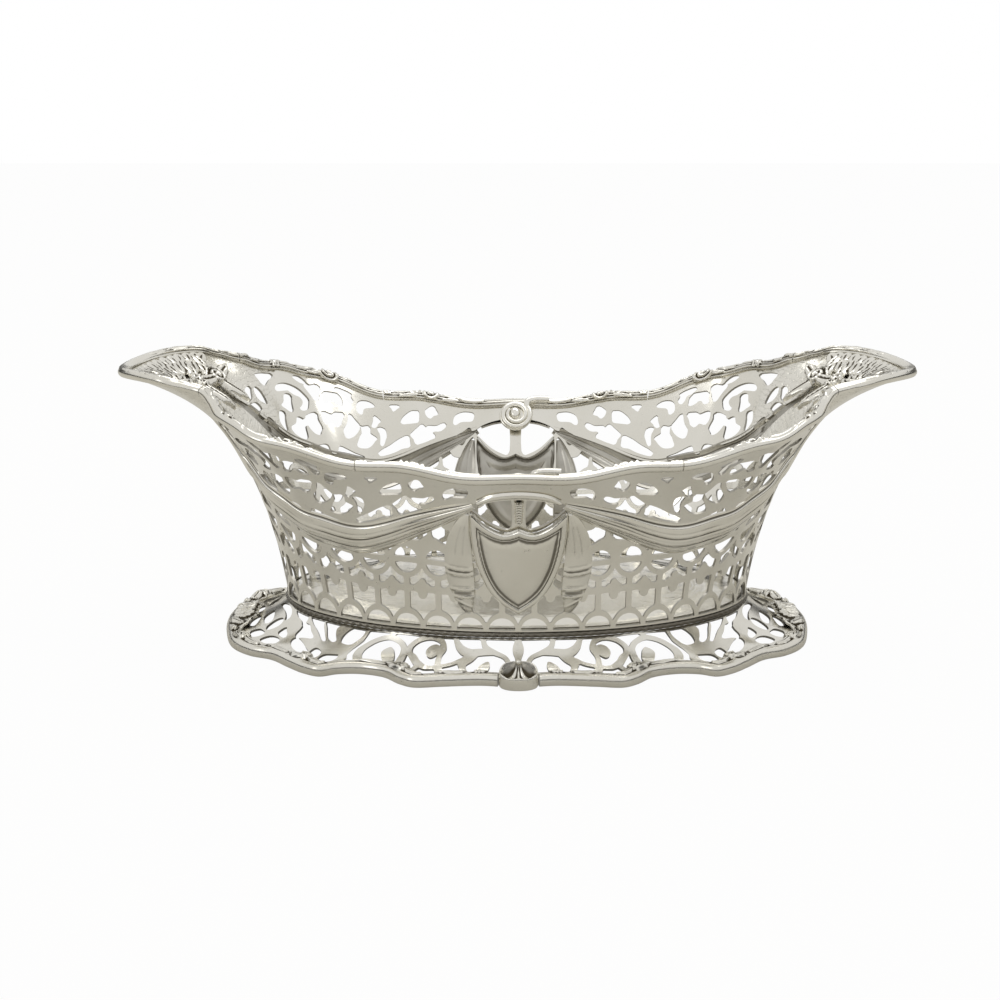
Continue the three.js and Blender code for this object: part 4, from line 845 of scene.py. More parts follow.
# %% The cast rim
RIM_JOINT = .29
RIM_STARTS = {"middle": (-RIM_JOINT, RIM_JOINT), "shoulder": (RIM_JOINT, NECK_SHARE),
              "handle": (NECK_SHARE, 2 - NECK_SHARE)}
RIM_CORE = .88  # the plain wire's share of the rim; its ornament takes up the rest
ORNAMENT_LIFT = .8
REED_HEIGHT, REEDS = .16, 4.2
GROOVE_DEPTH, GROOVE_PLACE, GROOVE_WIDTH = .18, 5.55, .16
RIM_ORNAMENT = [
    # distance along the quarter and height on the inner side, in millimetres
    ("leaf", 13, 0, 0, 13, 5.2, 1.0, 3), ("leaf", 24, .8, 0, 8, 3.4, .7),
    ("leaf", 24, -1, -12, 8, 2.6, .6), ("curl", 36.5, .2, 4.1, 1.3), ("leaf", 39, 1.5, 10, 9, 3.6, 1.0, 2),
    ("leaf", 34, 1.6, 165, 8, 3.2, .9, 2), ("leaf", 41, -1.4, -8, 9, 2.6, .8),
    ("flower", 54, .2, 2.3, 5, .7), ("leaf", 57, .3, 0, 7, 2.8, .6), ("leaf", 51, .3, 180, 6, 2.6, .5),
    ("leaf", 62, .2, 4, 11, 4.4, .9, 3), ("bead", 75, 1.6, 1.8, .9), ("curl", 80, -.6, 4.4, 1.4, -1),
    ("leaf", 77, 2, 10, 11, 4, 1.1, 3), ("leaf", 83, -1.6, -6, 8, 3.2, .9, 2),
    ("leaf", 97, .4, 178, 11, 5, 1.1, 3), ("leaf", 88, 1.4, 4, 7, 3, .8),
    ("flower", 107.5, -1, 3.2, 5, 1.2), ("leaf", 104, 1, 172, 7, 3, .7),
    ("leaf", 111, .5, 4, 10, 3.6, .8, 2), ("leaf", 118, 1.1, -4, 9, 3.2, .7, 2),
    ("bead", 128.5, 1.4, 2.3, 1.5), ("leaf", 130, -.4, 6, 9, 4, 1.1, 2),
    ("leaf", 126, -.8, 172, 8, 3.6, .9, 2), ("leaf", 134, 1.4, -8, 9, 3.6, 1, 2),
    ("leaf", 140, -1.2, 10, 9, 4, 1.2, 2), ("curl", 147, .6, 3.2, 1.2), ("leaf", 148, 2, 4, 10, 4, 1.2, 3),
    ("leaf", 153, -1.6, 2, 10, 4, 1.2, 3), ("bead", 158, .6, 1.9, 1.3),
    ("leaf", 159, 1.8, -6, 10, 4.2, 1.2, 3), ("leaf", 164, -1.5, 8, 11, 4.2, 1.1, 3),
    ("leaf", 170, .8, -4, 10, 4, .9, 2), ("leaf", 177, -.8, 4, 9, 3, .6),
]


def rim_place(turn):
    """The place on the collar under a place of the rim, found by halving."""
    q, x_sign, y_sign = fold(turn)
    low, high = np.zeros_like(q), np.ones_like(q)
    for _ in range(30):
        middle = (low + high) / 2
        short = rim_share(middle) < q
        low, high = np.where(short, middle, low), np.where(short, high, middle)
    found = (low + high) / 2
    front, back = np.where(x_sign > 0, found, 4 - found), np.where(x_sign > 0, 2 - found, 2 + found)
    return np.where(y_sign > 0, front, back)


def rim_surface(turn, around):
    """A point of the rim: around runs once round its section, from outside over the top."""
    a = rim_place(turn)
    _, up, out = bowl_frame(a, np.ones_like(a))
    centre = bowl(a, np.ones_like(a))
    distance = fold(turn)[0] * rim_loop.quarter
    phi = 2 * math.pi * around
    half = RIM_WIRE / 2 * RIM_CORE
    inner = ease(-np.cos(phi - .5), -.25, .35)
    height = (math.radians(150) - phi) * 2.5
    tip = ease(distance, 160, 192)
    low = 1 - .7 * ease(distance, 126, 154)
    bulge = ORNAMENT_LIFT * low * relief(distance, height, RIM_ORNAMENT)
    reeds = REED_HEIGHT * np.cos(height * REEDS) * (1 - ease(bulge, 0, .5)) * (1 - tip)
    groove = GROOVE_DEPTH * np.exp(-((phi - GROOVE_PLACE) / GROOVE_WIDTH) ** 2)
    radius = half * (.96 - .05 * np.cos(2 * phi)) + inner * (bulge + reeds + .12 + .38 * tip) - groove
    r, h = radius * np.cos(phi), np.minimum(radius * np.sin(phi), half * 1.02)
    return centre + out * r[..., None] + up * h[..., None]


def carried(name, surface, start, end, stations, sides):
    """A closed section carried from start to end of a line, with its ends capped."""
    piece = bent(name, stations, sides, lambda s, t: surface(start + (end - start) * s, t))
    clean(piece)
    select_only(piece)
    bpy.ops.object.mode_set(mode="EDIT")
    bpy.ops.mesh.select_all(action="SELECT")
    bpy.ops.mesh.fill_holes(sides=0)
    bpy.ops.mesh.normals_make_consistent(inside=False)
    bpy.ops.object.mode_set(mode="OBJECT")
    smooth(piece, 50)
    return piece


RIM_GAP = CLEARANCE / rim_loop.quarter / 2
for part, places in (("middle", SIDES), ("shoulder", QUARTERS), ("handle", ENDS)):
    start, end = RIM_STARTS[part]
    stations = int((end - start) * rim_loop.quarter / .36)
    piece = carried(f"rim_{part}", rim_surface, start + RIM_GAP, end - RIM_GAP, stations, 44)
    finish_set(piece, f"rim_{part}", "cast_silver", places)

# %% [markdown]
# In the middle of each side the rim ends in a volute that rolls inwards over the edge, with an egg
# in its eye. The roll is a tapering wire wound in a spiral, laid on a thin round plate.

# %% The volutes
VOLUTE_RADIUS = 7.4
PLATE_LIFT = .9
ROLL = [(14.2, 7.4, 1.5), (8.6, 7.5, 1.5), (5.2, 6.4, 1.4)]


def volute_frame():
    a, v = np.zeros(1), np.full(1, .9)
    along, up, out = (d[0] for d in bowl_frame(a, np.ones(1)))
    middle = on_bowl(a, v, -SHEET - SEAT - PLATE_LIFT)[0]
    return middle, along, up, -out


def on_volute(x, y, lift):
    middle, along, up, inwards = volute_frame()
    return middle + x[..., None] * along + y[..., None] * up + lift[..., None] * inwards


turns = np.linspace(math.radians(38), math.radians(38 - 620), 60)
radii = np.linspace(VOLUTE_RADIUS - 1.25, 3.1, 60)
spiral = [(r * math.cos(t), r * math.sin(t), w)
          for r, t, w in zip(radii, turns, np.linspace(1.25, .7, 60))]
roll_line = flowing(ROLL + spiral, 5)


def roll_surface(s, t):
    step = s * (len(roll_line) - 1)
    x, y, thick = read_line(roll_line, step).T
    along = unit((read_line(roll_line, step + .5) - read_line(roll_line, step - .5))[:, :2])
    phi = 2 * math.pi * t
    groove = 1 - .16 * np.exp(-((np.mod(phi, 2 * math.pi) - math.pi / 2) / .25) ** 2)
    r, h = thick * np.cos(phi) * groove, thick * np.sin(phi) * groove
    rise = 1.5 + 1.0 * ease(s, .25, .9) - .6 * (1 - ease(s, 0, .12))
    return on_volute(x - along[:, 1] * r, y + along[:, 0] * r, h + rise)


def turned(name, profile, sides, place):
    """A closed profile of (radius, height) turned about an axis, and set in its place."""
    line = flowing(profile, 6)

    def surface(s, t):
        r, h = read_line(line, t * (len(line) - 1)).T
        return place(r * np.cos(2 * math.pi * s), r * np.sin(2 * math.pi * s), h)

    piece = bent(name, sides, 6 * (len(profile) - 1), surface)
    clean(piece, 2e-5)
    smooth(piece, 50)
    return piece


roll = carried("roll", roll_surface, 0, 1, 360, 18)
PLATE_LINE = [(0, 0), (6, 0), (6.6, .3), (6.5, .8), (5.6, 1.1), (3.4, 1.3), (0, 1.4)]
EGG_LINE = [(0, 1.2), (2.5, 1.25), (2.9, 1.9), (2.3, 2.3), (2.2, 2.9), (1.7, 3.6), (.8, 3.9), (0, 3.85)]
plate = turned("plate", PLATE_LINE, 72, on_volute)
egg = turned("egg", EGG_LINE, 48, lambda x, y, h: on_volute(x * .86 - .2, y * 1.12 + .2, h))
volute = joined("rim_volute", roll, plate, egg)
finish_set(volute, "rim_volute", "cast_silver", SIDES)

# %% [markdown]
# Swags, tails, shields and bands are struck: thin silver is hammered into a die, and comes out
# hollow behind. Each is a strip with a middle line and a width, raised by a height and thickened.

# %% Struck strips
STRUCK_SHEET = .7


def strip_place(stations, s, u, lift):
    """A place on a strip, s along its middle line and u across it, as it lies on the bowl."""
    line = flowing(stations, 12)
    step = s * (len(line) - 1)
    a, v, half = read_line(line, step).T
    ahead = (read_line(line, step + .7) - read_line(line, step - .7))[:, :2] * (WALL_WIDE, WALL_RISE)
    dx, dy = unit(ahead).T
    reach = (2 * u - 1) * half
    return on_bowl(a - dy * reach / WALL_WIDE, v + dx * reach / WALL_RISE, lift)


def struck(name, stations, columns, rows, height):
    piece = bent(name, columns, rows, lambda s, u: strip_place(stations, s, u, SEAT + height(s, u)))
    clean(piece, 3e-6, outward=False)
    apply_modifier(piece, "SOLIDIFY", thickness=STRUCK_SHEET * MM, offset=-1)
    clean(piece, 1e-6)
    smooth(piece, 60)
    return piece


def pleat(u, middle, width):
    """A round fold, 1 high at its middle."""
    return np.exp(-((u - middle) / width) ** 2)


def swag_height(s, u):
    ends = np.minimum(1, np.sin(math.pi * (.1 + .87 * s)) * 1.4)
    body = np.sin(math.pi * (.03 + .94 * u)) ** .6
    drift = .16 * np.sin(math.pi * s) * (s - .5)
    folds = 0
    for middle, width, height in ((.16, .1, .5), (.42, .12, .9), (.68, .1, .8), (.9, .06, .6)):
        wander = drift * (1 - 2 * middle) + .02 * np.sin(9 * s + 7 * middle)
        folds = folds + height * pleat(u, middle + wander, width)
    fine = .03 * np.sin(2 * math.pi * (7 * u + 1.2 * s))
    groove = .5 * pleat(u, .965, .02)
    return 3.1 * ends * (.72 * body + .17 * folds + fine * body - groove) * .9


def tail_height(s, u):
    body = np.sin(math.pi * (.04 + .92 * u)) ** .55
    folds = sum(height * pleat(u, middle, .08) for middle, height in ((.2, .5), (.47, .8), (.75, .6)))
    low = ease(s, .4, .54)
    bands = sum(pleat(s + .03 * (u - .5), middle, .012) for middle in (.56, .6, .72, .78))
    slanted = pleat(s + .14 * (u - .5), .86, .02)
    ends = np.minimum(1, np.sin(math.pi * (.1 + .85 * s)) * 1.6)
    return 1.9 * ends * (.72 * body + .12 * folds * (1 - low) + .16 * (bands + slanted) + .12 * low)


BAND_LINE = [(-.122, .862, .9), (-.075, .895, 1.5), (0, .905, 1.6), (.075, .895, 1.5), (.122, .862, .9)]
STRAP_LINE = [(0, .722, 1.4), (0, .794, 1.7), (0, .864, 1.7)]


def band_height(s, u):
    borders = pleat(u, .16, .06) + pleat(u, .84, .06)
    return 1.5 * (np.sin(math.pi * (.05 + .9 * u)) ** .7 + .25 * borders)


def strap_height(s, u):
    feathers = .2 * np.abs(np.sin(math.pi * (9 * s + 2.4 * np.abs(u - .5))))
    return 1.9 * np.sin(math.pi * (.05 + .9 * u)) ** .6 * (.85 + feathers)


finish_set(struck("swag", SWAG_LINE, 260, 44, swag_height), "swag", "sheet_silver", QUARTERS)
finish_set(struck("shield_tail", TAIL_LINE, 120, 32, tail_height), "shield_tail", "sheet_silver", QUARTERS)
finish_set(struck("shield_band", BAND_LINE, 110, 16, band_height), "shield_band", "sheet_silver", SIDES)
finish_set(struck("band_strap", STRAP_LINE, 50, 18, strap_height), "band_strap", "sheet_silver", SIDES)

# %% [markdown]
# The shield is struck too, but its outline isn't a strip: it is trimmed from a flat sheet like the
# wall, and its height follows the distance from its own edge, with a double border and a plain field.

# %% The shields
def shield_height(points):
    inside = outline_height(points, shield_outline())
    border = 2.5 * ease(inside, -.6, .9) - .5 * ease(inside, 2, 2.7) + .25 * pleat(inside, 2.95, .3)
    middle = np.hypot(points[:, 0], points[:, 1] - .5 * WALL_RISE)
    return SEAT + border + .9 * (1 - np.clip(middle / 21, 0, 1) ** 2) * ease(inside, 3, 6)


SHIELD_PAPER, SHIELD_CORNER = (40, 48), (-20, 8)


def shield_metal(points):
    return outline_height(points + SHIELD_CORNER, shield_outline())


shield = trimmed("shield", *SHIELD_PAPER, 110, 130, shield_metal)
flat = points_of(shield)[:, :2] + SHIELD_CORNER
move_points(shield, on_bowl(flat[:, 0] / WALL_WIDE, flat[:, 1] / WALL_RISE, shield_height(flat)) * MM)
apply_modifier(shield, "SOLIDIFY", thickness=STRUCK_SHEET * MM, offset=-1)
smooth(shield, 50)
finish_set(shield, "shield", "field_silver", SIDES)

# %% [markdown]
# The collar is a drawn wire between bowl and foot, with a twist on its outer half and a ledge that
# carries the floor. The floor is one plain disc, sprung up a little in the middle so that it stands
# flat and firm; nothing is engraved on it.

# %% The collar and the floor
def loop_frame(loop, turn):
    """A place on a loop, and the direction out of it."""
    along = unit(loop.at(turn + .004) - loop.at(turn - .004))
    return loop.at(turn), np.stack([along[..., 1], -along[..., 0], 0 * along[..., 0]], -1)


def section_at(section, t):
    """A place on a closed section of (reach, height) corners, smoothed."""
    line = flowing(section, 6, closed=True)
    line = np.vstack([line, line[:1]])
    return read_line(line, t * (len(line) - 1)).T


COLLAR_LINE = [
    (-3, 0), (-2.9, .1), (-.4, .1), (.45, .06), (1.1, -.2), (1.46, -.95), (1.1, -1.66), (.45, -1.86),
    (-.9, -1.8), (-1.6, -1.2), (-2.9, -.7),
]


def collar_surface(turn, around):
    place, out = loop_frame(collar_loop, turn)
    reach, height = section_at(COLLAR_LINE, around)
    twist = np.cos(turn * collar_loop.quarter * 2.1 + height * 2.4)
    reach = reach - .12 * (1 - twist) * ease(reach, .3, .9)
    top = COLLAR_HEIGHT - CLEARANCE - .1
    return place + out * reach[..., None] + np.stack([0 * turn, 0 * turn, top + height], -1)


FLOOR_SHEET = SHEET - .05
collar = bent("collar_silver", 1200, 30, lambda s, t: collar_surface(4 * s, t))
clean(collar, 1e-5)
smooth(collar, 60)
tie(collar, "cast_silver", "collar")


def floor_surface(s, t):
    radius = np.clip(t, 0, 1)
    place, out = loop_frame(collar_loop, 4 * s)
    edge = place - out * (SHEET + CLEARANCE)
    dome = 1.2 * (1 - ease(radius, .82, .96))
    ring = .12 * pleat(radius, .8, .006) + .08 * pleat(radius, .775, .004)
    found = edge * radius[..., None]
    found[..., 2] = COLLAR_HEIGHT + FLOOR_SHEET + dome + ring
    return found


floor_plate = bent("bowl_floor_silver", 240, 130, floor_surface)
clean(floor_plate, 2e-5)
apply_modifier(floor_plate, "SOLIDIFY", thickness=FLOOR_SHEET * MM, offset=-1)
smooth(floor_plate)
tie(floor_plate, "floor_silver", "bowl_floor")

# %% [markdown]
# The foot's border is cast in four lengths. Its section is a fat round outside with a ridge and a
# hollow on top. Leaves curl over its lobes, and at the foot's ends it spreads into a broad leaf whose
# ragged edge is turned up. Both ends of that change are sections of the same corners, blended.

# %% The foot's border
SHELL_HALF = .047
LEAF_SPAN = (.87, .95)
BORDER_LINE = [
    (-4.45, .02), (-2.2, 0), (-.3, 0), (.5, .5), (.86, 1.4), (.88, 2.3), (.6, 3.3), (0, 4.05), (-.8, 4.4),
    (-1.5, 4.3), (-1.9, 4.0), (-2.3, 4.25), (-3.1, 4.2), (-4, 3.8), (-4.45, 3), (-4.45, 1.4),
]
END_LINE = [
    (-4.45, .02), (-2.2, 0), (-.3, 0), (.5, .5), (.86, 1.4), (.88, 2.3), (.6, 3.3), (0, 4.2), (-1.4, 4.9),
    (-3.6, 5.4), (-6.6, 5.7), (-9.2, 6.3), (-10.8, 7), (-10.9, 6), (-7, 4.6), (-4.5, 2.6),
]
BORDER_LEAVES = [47, 88, 125]
BORDER_LIFT = 1.35
BORDER_ORNAMENT = [
    # distance along the quarter and place across it, in millimetres
    ("flower", 14, -2.9, 2, 5, .7), ("leaf", 19, -2.9, 0, 9, 2.8, .7, 2),
    ("leaf", 34, -2.4, -4, 12, 3.6, .9, 3), ("leaf", 54, -3.2, 174, 11, 5, 1.3, 3),
    ("curl", 46, -4.4, 3, 1.3), ("leaf", 52, -2.4, 2, 12, 3, .8, 2), ("leaf", 74, -2.6, -4, 13, 4, 1, 3),
    ("curl", 88, -4.6, 3.1, 1.4, -1), ("leaf", 96, -3.2, 176, 10, 4.6, 1.2, 3),
    ("leaf", 98, -2.6, 0, 11, 3.2, .8, 2), ("leaf", 112, -2.6, -4, 12, 4, 1, 3),
    ("curl", 124, -4.4, 2.9, 1.3), ("leaf", 133, -3, 172, 10, 4.6, 1.2, 2),
    ("bead", 137, -1.2, 2, 1.4, .4), ("leaf", 141, -5.5, 40, 9, 4, 1.1, 2),
    ("leaf", 146, -4, 70, 8, 4, 1, 2), ("leaf", 150, -1.6, -100, 9, 4.4, 1.2, 2),
    ("leaf", 154, -1.4, -95, 9.5, 4.6, 1.3, 2),
]


def border_surface(b, around):
    place, _, out = foot_frame(b)
    distance = b * foot_loop.quarter
    spread = ease(b, *LEAF_SPAN)
    plain, end = section_at(BORDER_LINE, around), section_at(END_LINE, around)
    reach = plain[0] * (1 - spread) + end[0] * spread
    height = plain[1] * (1 - spread) + end[1] * spread
    top = ease(height, 3.3, 4.1) * ease(-reach, .2, 1.4)
    curled = sum(pleat(distance, middle, 5.5) for middle in BORDER_LEAVES) * (1 - spread)
    ragged = .8 + .2 * np.abs(np.sin(distance * .72)) + .05 * np.sin(distance * 2.9)
    reach = np.where(reach < -4.5, -4.5 + (reach + 4.5) * ragged, reach)
    reach = reach - 2.2 * curled * ease(-reach, 1.8, 4.2) * ease(height, 2.8, 3.8)
    lift = BORDER_LIFT * relief(distance, reach, BORDER_ORNAMENT) + .35 * curled
    height = np.maximum(height, 0)
    fine = .05 * np.cos(reach * 9) * ease(-reach, .5, 1) * (1 - ease(lift, 0, .3))
    height = height + top * (lift + fine)
    return place + out * reach[..., None] + np.stack([0 * b, 0 * b, height], -1)


FOOT_GAP = CLEARANCE / foot_loop.quarter / 2
border = carried("foot_border", border_surface, SHELL_HALF + FOOT_GAP, 1 - FOOT_GAP, 420, 96)
finish_set(border, "foot_border", "cast_silver", QUARTERS)

# %% [markdown]
# In the middle of each long side of the foot a scallop shell opens towards the viewer. It is turned
# like a cup from a closed profile, then made oval, higher at the back, and fluted inside from the
# hinge, where a small ball sits.

# %% The foot's shells
SHELL_WIDE, SHELL_DEEP = 7.1, 4.5
SHELL_PROFILE = [
    (0, 0), (.5, 0), (.84, 0), (.97, .12), (1, .4), (.99, .75), (.96, .97), (.9, 1.0), (.85, .9),
    (.74, .66), (.5, .46), (.25, .38), (0, .36),
]
SHELL_LIP = 7 / 12


def shell_surface(s, t):
    line = flowing(SHELL_PROFILE, 6)
    share, height = read_line(line, t * (len(line) - 1)).T
    x = SHELL_WIDE * share * np.sign(np.cos(2 * math.pi * s)) * np.abs(np.cos(2 * math.pi * s)) ** .9
    y = SHELL_DEEP * share * np.sin(2 * math.pi * s)
    back = .5 - .5 * y / SHELL_DEEP
    top = 4.5 + 3.7 * ease(back, .05, .95)
    flute = np.cos(np.arctan2(x, y + SHELL_DEEP + .4) * 11)
    inside = ease(t, SHELL_LIP - .03, SHELL_LIP + .08)
    z = height * top + .3 * flute * inside * ease(share, .05, .5) + .18 * flute * pleat(t, SHELL_LIP, .05)
    place, _, out = foot_frame(x / foot_loop.quarter)
    found = place + out * (y - .35)[..., None]
    found[..., 2] = np.maximum(z, 0)
    return found


cup = bent("cup", 132, 72, shell_surface)
clean(cup, 2e-5)
smooth(cup, 60)
hinge = foot_frame(np.zeros(1))
hinge = (hinge[0] - hinge[2] * 4.2)[0] + (0, 0, 8)
bpy.ops.mesh.primitive_uv_sphere_add(segments=24, ring_count=16, radius=1.15 * MM, location=hinge * MM)
ball = bpy.context.object
bpy.ops.object.transform_apply(location=True, rotation=True, scale=True)
smooth(ball, 80)
finish_set(joined("foot_shell", cup, ball), "foot_shell", "cast_silver", SIDES)

# %% [markdown]
# The foliage on the handles is one casting on the inner face of each: rows of leaves that follow the
# handle's edge and overlap inwards like feathers, a palmette in the middle with a flower at its
# heart, and a spray with a flower and a curl on either side. It is trimmed along the line where its
# relief fades, so its edge is as ragged as the leaves are.

# %% The foliage on the handles
LEAF_TURN = .27
LEAF_LOW, LEAF_HIGH = .6, .985
LEAF_PAPER = (50, 60)  # millimetres of flat sheet to a quarter round, and to the wall's height
LEAF_FADE = .22  # relief lower than this is cut away
LEAF_BED, LEAF_LIFT = .3, 1.1
SPRAY = [(124, 13, 60, 10), (123, 14, 120, 11), (122, 12, 175, 12), (118, 24, 100, 11),
         (117, 23, 165, 11), (122, 25, 40, 8)]
rng = np.random.default_rng(7)


def edge_place(turn, depth):
    """A plan place on the handle, at a depth inside its edge, and the direction inwards."""
    place, out = loop_frame(rim_loop, turn)
    inwards = math.degrees(math.atan2(-out[1], -out[0]))
    return place[0] - out[0] * depth, place[1] - out[1] * depth, inwards


foliage = []
for depth, count, length, wide, lift, span in ((3.6, 21, 8, 5.4, 1.3, .25), (8.6, 17, 9, 5.8, 1.6, .22)):
    for k in range(count):
        turn = 1 + span * (2 * (k + .5) / count - 1)
        x, y, inwards = edge_place(np.array(turn), depth)
        tilt = 24 * (1 if turn > 1 else -1) + rng.uniform(-6, 6)
        foliage.append(("leaf", x, y, inwards + tilt, length * rng.uniform(.9, 1.1), wide, lift, 2))
for degrees in range(-105, 106, 21):
    foliage.append(("leaf", 128, 0, degrees, 13 - 2.5 * abs(math.sin(math.radians(degrees))), 4.6, 2, 3))
for degrees in (128, 150, 172, 188, 210, 232):
    foliage.append(("leaf", 127, 0, degrees, 14, 6, 1.9, 3))
for side in (-1, 1):
    for x, y, degrees, length in SPRAY:
        foliage.append(("leaf", x, side * y, side * degrees, length, 5.4, 1.8, 3))
    foliage.append(("flower", 123.5, side * 13, 3.6, 5, 2.2))
    foliage.append(("curl", 118.5, side * 24, 3.4, 1.9, side, 1.5, .8))
foliage.append(("flower", 128, 0, 4.2, 6, 2.4))


def handle_relief(points):
    place = bowl(points[:, 0], points[:, 1])
    return relief(place[:, 0], place[:, 1], foliage)


def foliage_place(flat):
    return flat / LEAF_PAPER + (1 - LEAF_TURN, LEAF_LOW)


def foliage_metal(flat):
    return (handle_relief(foliage_place(flat)) - LEAF_FADE) * 2


leafage = trimmed("handle_leaf", 2 * LEAF_TURN * LEAF_PAPER[0], (LEAF_HIGH - LEAF_LOW) * LEAF_PAPER[1],
                  250, 150, foliage_metal)
flat = foliage_place(points_of(leafage)[:, :2])
height = LEAF_BED + LEAF_LIFT * handle_relief(flat) * (1 - .45 * ease(flat[:, 1], .9, .98))
move_points(leafage, on_bowl(flat[:, 0], flat[:, 1], -SHEET - .4 - height) * MM)
leafage.data.flip_normals()
apply_modifier(leafage, "SOLIDIFY", thickness=.6 * MM, offset=-1)
smooth(leafage, 60)
finish_set(leafage, "handle_leaf", "cast_silver", ENDS)

# %% [markdown]
# The look of old silver. Sterling is polished but never perfect: hands and cloths leave fine
# scratches, the tone clouds over, and tarnish stays in the hollows where no cloth reaches. Where the
# hollows are is measured on each piece: its points are compared with a softened copy of itself.

# %% Measure the hollows
HOLLOW_BACKED = ("swag", "shield", "band_strap")  # struck pieces, whose backs no cloth reaches


def mark_hollows(piece, rounds, depth):
    """Write on each point how deep it lies under its surroundings, from 0 to 1."""
    mesh = piece.data
    points = points_of(piece) / MM
    edges = np.empty(len(mesh.edges) * 2, np.int32)
    mesh.edges.foreach_get("vertices", edges)
    a, b = edges.reshape(-1, 2).T
    count = np.bincount(edges, minlength=len(points)).astype(float)
    soft = points.copy()
    for _ in range(rounds):
        around = [np.bincount(a, soft[b, k], len(points)) + np.bincount(b, soft[a, k], len(points))
                  for k in range(3)]
        around = np.stack(around, -1)
        soft = .4 * soft + .6 * around / np.maximum(count, 1)[:, None]
    normals = np.empty(len(points) * 3, np.float32)
    mesh.vertex_normals.foreach_get("vector", normals)
    under = ((soft - points) * normals.reshape(-1, 3)).sum(1)
    level = np.clip(under / depth, 0, 1)
    if piece.name.startswith(HOLLOW_BACKED):
        backs = (normals.reshape(-1, 3)[:, :2] * points[:, :2]).sum(1) < 0
        level = np.where(backs, np.maximum(level, .32), level)
    mesh.attributes.new("hollow", "FLOAT", "POINT").data.foreach_set("value", level.astype(np.float32))


for piece in sum(silvers.values(), []):
    rough = piece.name.startswith(("bowl_wall", "foot_flange", "bowl_floor", "collar"))
    mark_hollows(piece, 2 if rough else 14, .5 if rough else .16)
print("pieces with their hollows marked:", sum(map(len, silvers.values())))

# %% [markdown]
# A material is a sum of small causes, so it is written as sums: a value that comes out of a shader
# node is wrapped so that it can be added and multiplied like a number.

# %% Shader values as numbers
class Value:
    """A shader socket that is worked with like a number."""

    def __init__(self, tree, socket):
        self.tree, self.socket = tree, socket

    @staticmethod
    def node(tree, kind, settings=None, sockets=None):
        made = tree.nodes.new(kind)
        for name, value in (settings or {}).items():
            setattr(made, name, value)
        for name, value in (sockets or {}).items():
            if isinstance(value, Value):
                tree.links.new(value.socket, made.inputs[name])
            else:
                made.inputs[name].default_value = value
        return made

    def maths(self, operation, other=None):
        sockets = {0: self} if other is None else {0: self, 1: other}
        made = Value.node(self.tree, "ShaderNodeMath", {"operation": operation}, sockets)
        return Value(self.tree, made.outputs[0])

    def __add__(self, other):
        return self.maths("ADD", other)

    def __sub__(self, other):
        return self.maths("SUBTRACT", other)

    def __mul__(self, other):
        return self.maths("MULTIPLY", other)

    __radd__, __rmul__ = __add__, __mul__

    def __rsub__(self, other):
        return self.maths("MULTIPLY", -1).maths("ADD", other)

    def between(self, low, high):
        made = Value.node(self.tree, "ShaderNodeMapRange", {"interpolation_type": "SMOOTHSTEP"},
                          {"Value": self, "From Min": low, "From Max": high})
        return Value(self.tree, made.outputs[0])


def noise(tree, place, scale, detail):
    sockets = {"Vector": place, "Scale": scale, "Detail": detail}
    made = Value.node(tree, "ShaderNodeTexNoise", None, sockets)
    return Value(tree, made.outputs["Fac"])


def blend(tree, share, first, second):
    made = Value.node(tree, "ShaderNodeMix", {"data_type": "RGBA"}, {"Factor": share})
    for slot, colour in ((6, first), (7, second)):
        if isinstance(colour, Value):
            tree.links.new(colour.socket, made.inputs[slot])
        else:
            made.inputs[slot].default_value = (*colour, 1)
    return Value(tree, made.outputs[2])


# %% [markdown]
# Four silvers share one recipe. Sheet was hammered, pierced and chased; castings are a little
# rougher and hold more tarnish; the shields' fields and the floor are burnished smooth.

# %% The silvers
# The last colour is the dark of real tarnish, and also the dark of painted shade.
SILVER, CLOUDED, TARNISH_AND_SHADE = (.86, .84, .775), (.76, .735, .655), (.075, .062, .04)


def silver(name, roughness, tarnish, dents, chased=False, painted_shade=0.0):
    material = bpy.data.materials.new(name)
    material.use_nodes = True
    tree = material.node_tree
    shader = tree.nodes["Principled BSDF"]
    made = Value.node(tree, "ShaderNodeTexCoord")
    place = Value(tree, made.outputs["Object"])
    made = Value.node(tree, "ShaderNodeAttribute", {"attribute_name": "hollow"})
    hollow = Value(tree, made.outputs["Fac"])
    clouds = noise(tree, place, 38, 5).between(.3, .72)
    specks = noise(tree, place, 620, 2).between(.62, .8)
    stretched = Value.node(tree, "ShaderNodeMapping", None, {"Vector": place, "Scale": (1, .16, 1.1)})
    scratches = noise(tree, Value(tree, stretched.outputs[0]), 2600, 2)
    deep = (hollow + clouds * hollow * .5).between(.05, .7)
    body = blend(tree, clouds * .75, SILVER, CLOUDED)
    # Besides the tarnish in the hollows, a whole piece can be blended towards the dark colour: that is
    # painted shade, for parts that lie in shade.
    colour = blend(tree, deep * tarnish + clouds * .1 * painted_shade + painted_shade, body, TARNISH_AND_SHADE)
    colour = blend(tree, specks * .12, colour, TARNISH_AND_SHADE)
    tree.links.new(colour.socket, shader.inputs["Base Color"])
    shader.inputs["Metallic"].default_value = 1
    shine = clouds * .07 + specks * .1 + deep * .25 + scratches * .05 + roughness
    tree.links.new(shine.socket, shader.inputs["Roughness"])
    surface = scratches * .012 + noise(tree, place, 150, 2) * dents
    if chased:
        surface = surface - chasing(tree)
    bump = Value.node(tree, "ShaderNodeBump", None, {"Height": surface, "Strength": 1, "Distance": .0006})
    tree.links.new(bump.outputs[0], shader.inputs["Normal"])
    return material


